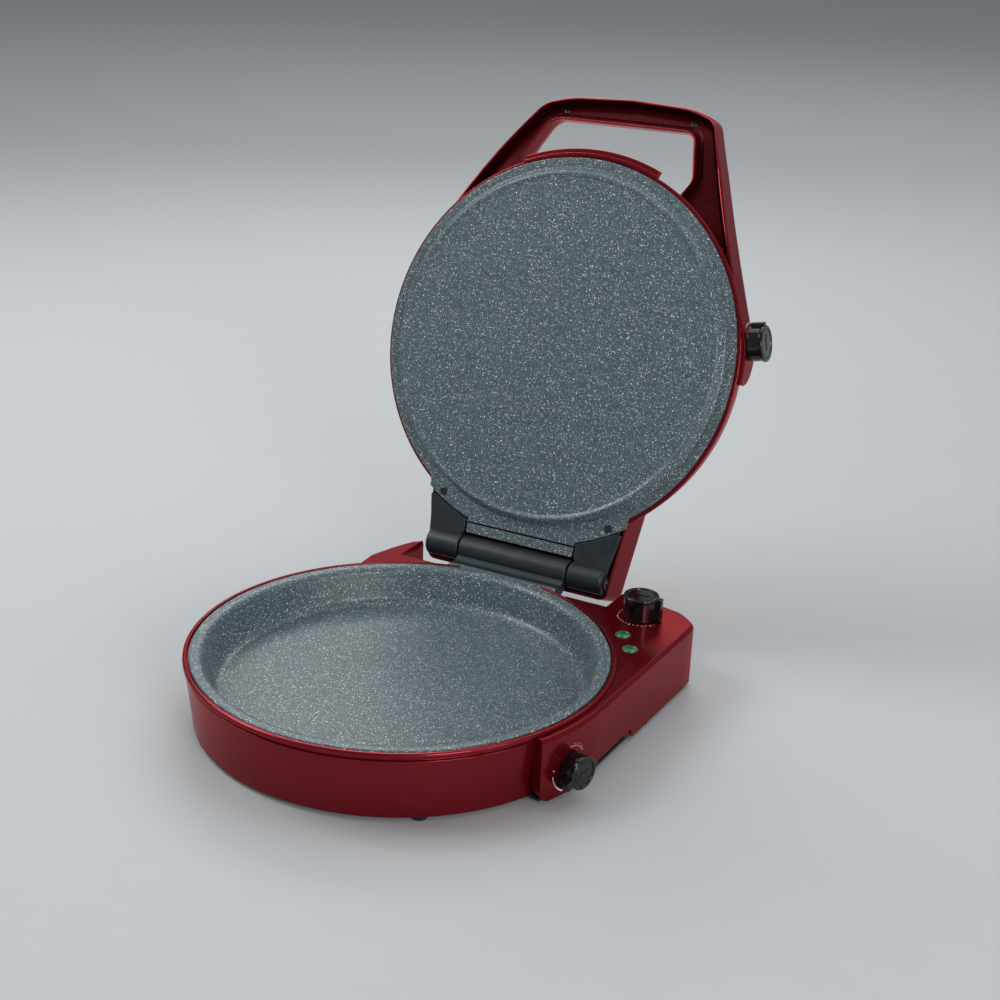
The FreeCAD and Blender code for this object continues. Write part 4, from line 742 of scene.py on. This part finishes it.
class PIZZAMAKER_OT_plate(bpy.types.Operator):
    """Lid plate with its sealing bead, its outline over the hinge and the strip behind it"""

    bl_idname = "pizza_maker.plate"
    bl_label = "Build lid plate"

    def execute(self, context):
        face = sizes().plate_face
        profile = rounded([
            (0, face - 5.1), (138.2, face - 5.1, 1.6), (140.8, face - 6.6, 1.8), (142.4, face - 6.6, 2.2),
            (147.0, face, 3.0), (149.5, face), (149.5, face + 3), (146, face + 3, 2), (142, face - 3.4, 2),
            (138, face - 2.1, 2), (0, face - 2.1)], 7)
        bolt_on("plate_disc", lathe(profile, 240), "stone_coat", "lid", turn=lid_turn(), node="upper_plate")
        outline = plate_outline()
        if area(outline) < 0:
            outline.reverse()
        inner = [tuple(Vector(p).normalized() * 149.4) for p in outline]
        soft = inset(outline, 0.25)
        softer = inset(outline, 0.8)
        rings = [[(*p, face + z) for p in ring] for ring, z in (
            (inner, 0), (softer, 0), (soft, 0.25), (outline, 0.8), (outline, 3.0), (inner, 3.0))]
        bm = bmesh.new()
        skin(bm, rings + [rings[0]])
        bolt_on("plate_flange", bm, "stone_coat", "lid", turn=lid_turn())
        strip = rounded([(-49.6, 158.1), (49.6, 158.1), (49.6, 166.2, 1.2), (-49.6, 166.2, 1.2)], 4)
        bolt_on("plate_rear_strip", prism(strip, edge_levels(face + 0.4, face + 3.0, 0.5)), "stone_coat", "lid",
                turn=lid_turn())
        return {"FINISHED"}


def rise_below(x, y):
    """Height of the handle's lower edge with the lid shut."""
    return curve_height(y, (-47, 58.9), (-132.75, 78.05), (-218.5, 120.6))


def rise_above(x, y):
    """Height of the handle's upper edge: level over the lobe and round at its rear end, low where the left arm ends."""
    height = curve_height(y, (-47, 89.4), (-132.75, 108.5), (-218.5, 140.4))
    if x < 0:
        share = min(1, max(0, (y + 82) / 38))
        return height - (height - 80) * share * share * (3 - 2 * share)
    height -= 0.8 * min(1, max(0, (y + 47) / 30))
    past = min(30, max(0, y + 26))
    return height - 22 * (1 - math.sqrt(1 - (past / 30.01) ** 2))


def curve_height(y, first, second, third):
    """Height of the circle through three points of the side view; level behind the first point."""
    if y >= first[0]:
        return first[1]
    ax, ay, bx, by, cx, cy = *first, *second, *third
    cross = 2 * (ax * (by - cy) + bx * (cy - ay) + cx * (ay - by))
    a2, b2, c2 = ax * ax + ay * ay, bx * bx + by * by, cx * cx + cy * cy
    ux = (a2 * (by - cy) + b2 * (cy - ay) + c2 * (ay - by)) / cross
    uy = (a2 * (cx - bx) + b2 * (ax - cx) + c2 * (bx - ax)) / cross
    radius = math.hypot(ax - ux, ay - uy)
    drop = math.sqrt(max(radius * radius - (y - ux) ** 2, 0))
    return uy - drop if uy > ay else uy + drop


def nearest(points, x, y):
    return min(range(len(points)), key=lambda k: math.dist(points[k], (x, y)))


def handle_paths():
    """Outer and inner lines from the right lobe over the grip to the left arm's end, sampled alike."""
    lobe = arc(sizes().lid_lobe_radius, 1.4, -9, 12)
    front = rounded([lobe[-1], (159.9, -29.2, 70), (101.3, -160.3, 60), (78.8, -207.3, 17), (56, -215, 80),
                     (0, -218)], 10)
    bend, grip = nearest(front, 92, -182), nearest(front, 63, -214.5)
    outer = [lobe, front[:bend + 1], front[bend:grip + 1], front[grip:]]
    window = rounded([(150, -22), (126, -50, 30), (95, -104, 30), (71, -134, 6), (75.5, -142.5, 5),
                      (79.4, -151, 9), (65.5, -192.8, 14), (0, -193)], 10)
    first, last = nearest(window, 70.5, -178), nearest(window, 50, -192.9)
    inner = [[(150, 4), (150, -22)], window[:first + 1], window[first:last + 1], window[last:]]
    right = []
    for a, b, count in zip(outer, inner, (16, 64, 18, 24)):
        matched = list(zip(resample(a, count), resample(b, count)))
        right += matched[1:] if right else matched
    left = [((-a[0], a[1]), (-b[0], b[1])) for a, b in reversed(right[:-1]) if a[1] < -140]
    root = [(left[-1][0], (-144.2, -62.1), (-148.5, -50)), (left[-1][1], (-126, -50), (-122, -34))]
    ends = list(zip(*[resample(line, 30)[1:] for line in root]))
    return right + left + ends


def handle_skin(section, pairs, caps=True):
    """Sweep a cross-section along the handle. Its points are (side, inset, level, rise)."""
    bm = bmesh.new()
    rings = []
    for outer, inner in pairs:
        unit = (Vector(outer) - Vector(inner)).normalized()
        ring = []
        for side, depth, level, rise in section:
            spot = Vector(outer) - unit * depth if side == "outer" else Vector(inner) + unit * depth
            low = rise_below(*spot)
            if level == "hollow":
                rise *= min(1, max(0.02, (-92 - outer[1]) / 7))
            elif level == "roof":
                rise *= rise_above(*spot) - low
            ring.append((spot.x, spot.y, low + rise))
        rings.append(ring)
    skin(bm, rings, cap_start=caps, cap_end=caps)
    return bm


QUARTER = [math.pi / 2 * k / 6 for k in range(7)]
RIM = [(0, 2.2), (0, 1.0), (0.3, 0.3), (1.0, 0), (1.6, 0), (2.1, 0.3), (2.4, 1.0)]
SHELL_SECTION = (
    [("outer", 0, "roof", 0.66)]
    + [("outer", 5.5 * (1 - math.cos(a)), "roof", 0.72 + 0.28 * math.sin(a)) for a in QUARTER]
    + [("inner", 9 * (1 - math.cos(a)), "roof", 0.4 + 0.6 * math.sin(a)) for a in reversed(QUARTER)]
    + [("inner", depth, "rim", rise) for depth, rise in RIM]
    + [("inner", 2.5, "hollow", 2.0), ("inner", 3.0, "hollow", 12.4), ("outer", 3.0, "hollow", 12.4),
       ("outer", 2.5, "hollow", 2.0)]
    + [("outer", depth, "rim", rise) for depth, rise in reversed(RIM)])

COVER_EDGE = [(2.2, 12.6), (2.2, 2.6), (2.7, 2.2), (3.0, 2.7), (3.4, 10.6), (5.6, 10.4), (6.1, 10.1), (6.6, 9.3),
              (7.1, 9.0)]
COVER_SECTION = ([("outer", depth, "hollow", rise) for depth, rise in COVER_EDGE]
                 + [("inner", depth, "hollow", rise) for depth, rise in reversed(COVER_EDGE)])


class PIZZAMAKER_OT_lid(bpy.types.Operator):
    """Domed lid with its lip, the rear hood with flared sides, and the closing strip"""

    bl_idname = "pizza_maker.lid"
    bl_label = "Build lid"

    def execute(self, context):
        s = sizes()
        low, top, wall = s.lid_base, s.lid_top, s.lid_wall
        profile = rounded([
            (0, low + 2.6), (150, low + 2.6, 0.4), (150, low, 0.4), (wall + 1.6, low, 0.9),
            (wall + 1.6, low + 3.0, 0.9), (wall, low + 3.7, 0.6), (wall - 2.4, top - 10, 8),
            (141, top - 4.5, 26), (70, top - 1.1, 60), (0, top)], 8)
        dome = bolt_on("lid_dome", lathe(profile, 240), "red_enamel", "lid", node="lid_housing")
        carve(dome, block((-91.2, 117, 50), (91.2, 190, 88.5)))
        turn_piece(dome)
        plan = rounded([(93.4, 112), (85.6, 182, 60), (84.2, 195.4, 9), (-84.2, 195.4, 9), (-85.6, 182, 60),
                        (-93.4, 112)], 8)
        flare = [(-0.1 * (z - 61), z) for z in (62, 70, 80, 86)]
        levels = [(2.5, 88.0), (2.5, 61.4), (2.2, 60.8), (1.6, 60.6), (0.7, 60.7), (0.1, 61.1)] + flare
        levels += [(-2.5 + 4.5 * (1 - math.cos(a)), 86.0 + 4.0 * math.sin(a))
                   for a in [math.pi / 2 * k / 5 for k in range(1, 6)]]
        bolt_on("lid_hood", prism(plan, levels), "red_enamel", "lid", turn=lid_turn())
        for name, reach, below, above in (("step", 160.2, low, low + 3.0), ("lip", 164.0, low + 2.6, low + 6.9)):
            half = math.degrees(math.asin(61 / reach))
            strip = arc(reach, -90 - half, -90 + half, 40) + arc(155, -90 + half, -90 - half, 40)
            bolt_on("lid_closing_" + name, prism(strip, edge_levels(below, above, 0.8)), "red_enamel", "lid",
                    turn=lid_turn())
        return {"FINISHED"}


def turn_piece(obj):
    """Swing a finished piece open with the lid."""
    obj.data.transform(placed() @ lid_turn() @ placed().inverted())


class PIZZAMAKER_OT_handle(bpy.types.Operator):
    """Handle frame that grows out of the lobe and the lid's wall, with its recessed underside cover"""

    bl_idname = "pizza_maker.handle"
    bl_label = "Build handle"

    def execute(self, context):
        pairs = handle_paths()
        bolt_on("handle_shell", handle_skin(SHELL_SECTION, pairs), "red_enamel", "lid", turn=lid_turn())
        arms = [pair for pair in pairs if pair[0][1] < -95]
        # The underside cover takes the red with painted shade, darker than the lit shell above it.
        bolt_on("handle_underside", handle_skin(COVER_SECTION, arms), "painted_shade_red", "lid", turn=lid_turn(),
                node="handle_cover")
        for name, hand in (("left", -1), ("right", 1)):
            boss = lathe(rounded([(0, -0.3), (1.9, -0.3, 0.4), (2.4, 0.6), (2.4, 6), (0, 6)], 4), 32)
            bolt_on(name + "_handle_boss", boss, "red_enamel", "lid",
                    turn=lid_turn() @ Matrix.Translation((121.5 * hand, -98, rise_below(0, -98))))
        return {"FINISHED"}


# Controls

def joined(first, *others):
    """Add other meshes to the first one."""
    for bm in others:
        mesh = bpy.data.meshes.new("joined")
        bm.to_mesh(mesh)
        bm.free()
        first.from_mesh(mesh)
        bpy.data.meshes.remove(mesh)
    return first


def knob_mesh(radius, length, rib_angle, neck, fin):
    """Smooth knob with a sunk cap, a raised arrow on the cap and a pointer fin (reach, half width) on one side."""
    profile = rounded([
        (0, 0.6), (radius - 2.4, 0.6), (radius - 2.4, 0, 0.2), (radius - neck, 0, 0.4), (radius - neck, 1.2),
        (radius - neck - 0.3, length - 3.4, 0.6), (radius, length - 2.2, 0.5), (radius, length, 1.1),
        (radius - 2.4, length, 0.5), (radius - 2.8, length - 0.9, 0.2), (0, length - 0.9)], 5)
    body = lathe(profile, 96)
    cap = lathe(rounded([(0, length - 1), (radius - 3.6, length - 1), (radius - 3.9, length - 0.45, 0.3),
                         (0, length - 0.45)], 3), 72)
    arrow = [(-1.0, -0.35 * radius), (1.0, -0.35 * radius), (1.0, 0.12 * radius), (2.6, 0.12 * radius),
             (0, 0.5 * radius), (-2.6, 0.12 * radius), (-1.0, 0.12 * radius)]
    mark = prism(arrow, edge_levels(length - 0.6, length + 0.0, 0.2, 2))
    mark.transform(Matrix.Rotation(math.radians(rib_angle - 90), 4, "Z"))
    reach, half = radius + fin[0], fin[1]
    rib = rounded([(radius - 3, -half * 1.15), (reach, -half, 1.0), (reach, half, 1.0), (radius - 3, half * 1.15)], 4)
    pointer = prism(rib, edge_levels(0.3, length - 0.6, 0.5))
    pointer.transform(Matrix.Rotation(math.radians(rib_angle), 4, "Z"))
    return joined(body, cap, mark, pointer)


class PIZZAMAKER_OT_knobs(bpy.types.Operator):
    """The two thermostat knobs on the lobes and the timer knob on the platform"""

    bl_idname = "pizza_maker.knobs"
    bl_label = "Build knobs"

    def execute(self, context):
        lower, upper = sizes().lobe_radius + 1, sizes().lid_lobe_radius + 1
        bolt_on("lower_knob_shell", knob_mesh(12.5, 12, 198, 0.6, (5.2, 3.0)), "black_knob", "lower_control",
                turn=radial(13.7, lower, 22.5), node="lower_knob")
        bolt_on("upper_knob_shell", knob_mesh(14.5, 12.2, 196, 0.6, (2.4, 2.4)), "black_knob", "upper_control",
                turn=lid_turn() @ radial(10.5, upper, 71.5), node="upper_knob")
        bolt_on("timer_knob_shell", knob_mesh(14.0, 18.5, 2, 0.2, (3.6, 2.6)), "black_knob", "timer_control",
                turn=Matrix.Translation((126.5, 151, 52.5)), node="timer_knob")
        return {"FINISHED"}


class PIZZAMAKER_OT_lenses(bpy.types.Operator):
    """Two green lenses in moulded collars on the platform"""

    bl_idname = "pizza_maker.lenses"
    bl_label = "Build lenses"

    def execute(self, context):
        deck = sizes().platform_height
        for name, x, y in (("power", 144, 93), ("heat", 129, 113)):
            spot = Matrix.Translation((x, y, deck))
            ring = rounded([(4.6, -0.2), (6.0, -0.2), (6.0, 0.75, 0.5), (5.0, 0.9, 0.3), (4.6, 0.4)], 3)
            bolt_on(name + "_lens_collar", lathe(ring, 64), "green_lens", "base", turn=spot)
            dome = rounded([(0, -0.2), (4.85, -0.2), (4.85, 0.5, 0.3), (3.6, 1.35, 2.5), (0, 1.75)], 5)
            bolt_on(name + "_lens_dome", lathe(dome, 64), "green_lens", "base", turn=spot, node=name + "_lens")
        return {"FINISHED"}


def cross_screw(radius, thick):
    """Pan-head screw with a cross recess, head upwards."""
    depth = thick * 0.7
    half, arm = radius * 0.13, radius * 0.62
    outline = [(half, half), (arm, half), (arm, -half), (half, -half), (half, -arm), (-half, -arm), (-half, -half),
               (-arm, -half), (-arm, half), (-half, half), (-half, arm), (half, arm)]
    ring = []
    for a, b in zip(outline, outline[1:] + outline[:1]):
        ring += [a, ((a[0] + b[0]) / 2, (a[1] + b[1]) / 2)]
    bm = bmesh.new()

    def circle(r, height):
        turned = []
        for x, y in ring:
            spot = Vector((x, y)).normalized() * r
            turned.append((spot.x, spot.y, height))
        return turned

    rings = [[(x * 0.6, y * 0.6, thick - depth) for x, y in ring], [(x, y, thick) for x, y in ring]]
    rings += [circle(radius * 0.72, thick), circle(radius * 0.9, thick * 0.86), circle(radius, thick * 0.5),
              circle(radius, 0)]
    skin(bm, rings, cap_start=True, cap_end=True)
    return bm


class PIZZAMAKER_OT_screws(bpy.types.Operator):
    """Blackened cross-head screws in the lid plate and in the handle's underside"""

    bl_idname = "pizza_maker.screws"
    bl_label = "Build screws"

    def execute(self, context):
        down = Matrix.Rotation(math.pi, 4, "X")
        face = sizes().plate_face
        for name, x in (("left", -77.1), ("right", 77.1)):
            spot = Matrix.Translation((x, 136.6, face + 0.13)) @ down @ Matrix.Rotation(0.5, 4, "Z")
            bolt_on(name + "_plate_screw", cross_screw(3.6, 0.5), "dark_screw", "lid", turn=lid_turn() @ spot,
                    node="plate_screws" if x < 0 else None)
        y = -202.5
        slope = math.atan2(rise_below(0, y - 1) - rise_below(0, y + 1), 2)
        tilt = Matrix.Rotation(-slope, 4, "X")
        for name, x in (("left", -58.9), ("right", 58.9)):
            spot = Matrix.Translation((x, y, rise_below(0, y) + 9.4)) @ tilt @ down
            bolt_on(name + "_handle_screw", cross_screw(2.9, 1.2), "dark_screw", "lid", turn=lid_turn() @ spot,
                    node="handle_screws" if x < 0 else None)
        return {"FINISHED"}


# Printed marks

def wall_mark(points, surface, axis_angle, height, lift=0.07):
    """A thin closed film on the lobe's wall. Its points are (across, up) from the knob's axis."""
    bm = bmesh.new()

    def place(across, up, radius):
        angle = math.radians(-axis_angle) + across / surface
        return radius * math.cos(angle), radius * math.sin(angle), height + up

    rings = []
    for inner, outer in points:
        rings.append([place(*inner, surface - 0.1), place(*outer, surface - 0.1), place(*outer, surface + lift),
                      place(*inner, surface + lift)])
    skin(bm, rings, cap_start=True, cap_end=True)
    return bm


def arc_mark(radius, width, first, last, surface, axis_angle, height, taper=0.0):
    """A printed arc about a knob; its width may grow from first to last."""
    points = []
    for k in range(25):
        angle = math.radians(first + (last - first) * k / 24)
        half = (width + taper * k / 24) / 2
        points.append(((math.cos(angle) * (radius - half), math.sin(angle) * (radius - half)),
                       (math.cos(angle) * (radius + half), math.sin(angle) * (radius + half))))
    return wall_mark(points, surface, axis_angle, height)


def dot_mark(across, up, size, surface, axis_angle, height):
    points = []
    for k in range(7):
        x = size * (k / 3 - 1) * 0.995
        half = math.sqrt(size * size - x * x)
        points.append(((across + x, up - half), (across + x, up + half)))
    return wall_mark(points, surface, axis_angle, height)


class PIZZAMAKER_OT_prints(bpy.types.Operator):
    """Plain printed ticks, dots and arcs around the three knobs"""

    bl_idname = "pizza_maker.prints"
    bl_label = "Build printed marks"

    def execute(self, context):
        lobe, lid_lobe = sizes().lobe_radius, sizes().lid_lobe_radius
        deck = sizes().platform_height
        dots = []
        for k in range(8):
            angle = math.radians(34 + 8 * k)
            dots.append(dot_mark(15.4 * math.cos(angle), 15.4 * math.sin(angle), 0.42, lobe, 13.7, 22.5))
        for k in range(4):
            angle = math.radians(42 + 12 * k)
            dots.append(dot_mark(17.0 * math.cos(angle), 17.0 * math.sin(angle), 0.3, lobe, 13.7, 22.5))
        dots.append(arc_mark(17.2, 0.5, 186, 246, lobe, 13.7, 22.5, 0.8))
        dots.append(dot_mark(-16.6, 2.7, 0.5, lobe, 13.7, 22.5))
        bolt_on("lower_scale", joined(*dots), "print", "base")
        marks = [arc_mark(16.6, 0.4, 150, 222, lid_lobe, 10.5, 71.5, 0.3)]
        marks += [dot_mark(16.6 * math.cos(math.radians(a)), 16.6 * math.sin(math.radians(a)), 0.35, lid_lobe, 10.5,
                           71.5) for a in (128, 136, 144)]
        bolt_on("upper_scale", joined(*marks), "print", "lid", turn=lid_turn())
        ticks = []
        for k in range(22):
            turn = math.radians(100 + 11 * k)
            long_tick = 1.3 if k % 5 == 0 else 0.55
            tick = block((17.2, -0.55, -0.1), (17.2 + long_tick, 0.55, 0.06))
            tick.transform(Matrix.Translation((126.5, 151, deck)) @ Matrix.Rotation(turn, 4, "Z"))
            ticks.append(tick)
        bolt_on("timer_scale", joined(*ticks), "print", "base")
        return {"FINISHED"}


# Carried-over pieces

CARRIED = {
    "dark_screw": ("hinge_pin", "hinge_clips"),
    "steel": ("bottom_screws", "knuckle_screws", "lower_element_clamps",
              "upper_element_clamps", "lower_knob_shaft", "upper_knob_shaft", "timer_shaft", "timer_mechanism",
              "indicator_lamps", "inlet_pins", "inlet_screws"),
    "black_inner": ("base_bottom_cover", "lower_thermostat", "upper_thermostat", "power_inlet", "terminal_block"),
    "heater_sheath": ("lower_heating_element", "upper_heating_element"),
    "reflector": ("lower_heat_shield", "upper_heat_shield"),
    "brass_bell": ("timer_bell",),
}


class PIZZAMAKER_OT_carried(bpy.types.Operator):
    """Give the construction model's remaining pieces their real finishes"""

    bl_idname = "pizza_maker.carried"
    bl_label = "Finish carried pieces"

    def execute(self, context):
        for name, members in CARRIED.items():
            for node in members:
                obj = frame["nodes"][node]
                obj.data.materials.clear()
                obj.data.materials.append(finish(name))
                obj.data.shade_smooth()
                obj.data.set_sharp_from_angle(angle=SMOOTH_ANGLE)
        return {"FINISHED"}


# Studio

def softbox(name, place, aim, size, power):
    """A rectangular light that faces a point; measures in metres and watts."""
    light = bpy.data.lights.new(name, "AREA")
    light.shape = "RECTANGLE"
    light.size, light.size_y = size
    light.energy = power
    obj = bpy.data.objects.new(name, light)
    obj.matrix_world = Matrix.Translation(place) @ (Vector(place) - Vector(aim)).to_track_quat("Z", "Y").to_matrix().to_4x4()
    bpy.context.scene.collection.objects.link(obj)
    return obj


def floor_finish():
    """Matt painted studio table."""
    f = Finish("Matt studio paint")
    f.set(Base_Color=list(colours().floor), Roughness=f.ramp(f.noise(30), 0.3, 0.7, 0.55, 0.65), IOR=1.45)
    return f.material


class PIZZAMAKER_OT_stage(bpy.types.Operator):
    """Plain pale floor, soft studio lights and the camera of the photograph"""

    bl_idname = "pizza_maker.stage"
    bl_label = "Set the stage"

    def execute(self, context):
        scene = context.scene
        bm = bmesh.new()
        bmesh.ops.create_grid(bm, x_segments=1, y_segments=1, size=40000)
        floor = new_object("floor", bm, floor_finish())
        softbox("key", (-1.5, -0.5, 1.6), (0, 0.0, 0.15), (1.2, 0.9), 23)
        softbox("fill", (2.0, -1.5, 0.95), (0, 0, 0.2), (0.9, 1.0), 28)
        softbox("side", (1.8, -0.5, 0.4), (0, 0.05, 0.25), (0.35, 0.7), 4)
        softbox("back", (-0.9, 1.5, 1.4), (0, 0.0, 0.2), (1.4, 0.5), 10)
        softbox("overhead", (0, 2.2, 3.4), (0, 1.6, 0), (5.0, 4.0), 80)
        world = bpy.data.worlds.new("studio")
        world.use_nodes = True
        background = world.node_tree.nodes["Background"]
        background.inputs["Color"].default_value = (0.80, 0.82, 0.84, 1)
        background.inputs["Strength"].default_value = 0.36
        scene.world = world
        camera = bpy.data.cameras.new("camera")
        camera.sensor_width = 36
        camera.lens = 57.6
        camera.clip_end = 50
        obj = bpy.data.objects.new("camera", camera)
        azimuth, elevation, roll = (math.radians(a) for a in (27.96, 20.90, 2.21))
        back = Vector((math.sin(azimuth) * math.cos(elevation), -math.cos(azimuth) * math.cos(elevation),
                       math.sin(elevation)))
        right = Vector((math.cos(azimuth), math.sin(azimuth), 0))
        up = back.cross(right)
        tilted = math.cos(roll) * right + math.sin(roll) * up
        upright = back.cross(tilted)
        axes = Matrix((tilted, upright, back)).transposed().to_4x4()
        spot = placed() @ Vector((562.3, -912.2, 582.0))
        obj.matrix_world = Matrix.Translation(spot) @ axes
        scene.collection.objects.link(obj)
        scene.camera = obj
        scene.view_settings.view_transform = "Standard"
        return {"FINISHED"}


# Add-on

PIECES = (PIZZAMAKER_OT_base, PIZZAMAKER_OT_pan, PIZZAMAKER_OT_feet, PIZZAMAKER_OT_hinge, PIZZAMAKER_OT_plate,
          PIZZAMAKER_OT_lid, PIZZAMAKER_OT_handle, PIZZAMAKER_OT_knobs, PIZZAMAKER_OT_lenses,
          PIZZAMAKER_OT_screws, PIZZAMAKER_OT_prints, PIZZAMAKER_OT_carried, PIZZAMAKER_OT_stage)


class PIZZAMAKER_PT_panel(bpy.types.Panel):
    """Sizes, colours and the build steps"""

    bl_idname = "PIZZAMAKER_PT_panel"
    bl_label = "Pizza maker"
    bl_space_type = "VIEW_3D"
    bl_region_type = "UI"
    bl_category = "Pizza maker"

    def draw(self, context):
        for settings in (context.scene.pizza_maker_sizes, context.scene.pizza_maker_colours):
            column = self.layout.column(align=True)
            for key in settings.__annotations__:
                column.prop(settings, key)
        for piece in PIECES:
            self.layout.operator(piece.bl_idname)


CLASSES = (PizzaMakerSizes, PizzaMakerColours) + PIECES + (PIZZAMAKER_PT_panel,)


def register():
    for cls in CLASSES:
        bpy.utils.register_class(cls)
    bpy.types.Scene.pizza_maker_sizes = bpy.props.PointerProperty(type=PizzaMakerSizes)
    bpy.types.Scene.pizza_maker_colours = bpy.props.PointerProperty(type=PizzaMakerColours)


def unregister():
    del bpy.types.Scene.pizza_maker_colours
    del bpy.types.Scene.pizza_maker_sizes
    for cls in reversed(CLASSES):
        bpy.utils.unregister_class(cls)


def main():
    register()
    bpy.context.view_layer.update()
    for piece in PIECES:
        family, step = piece.bl_idname.split(".")
        getattr(getattr(bpy.ops, family), step)()


if __name__ == "__main__":
    main()
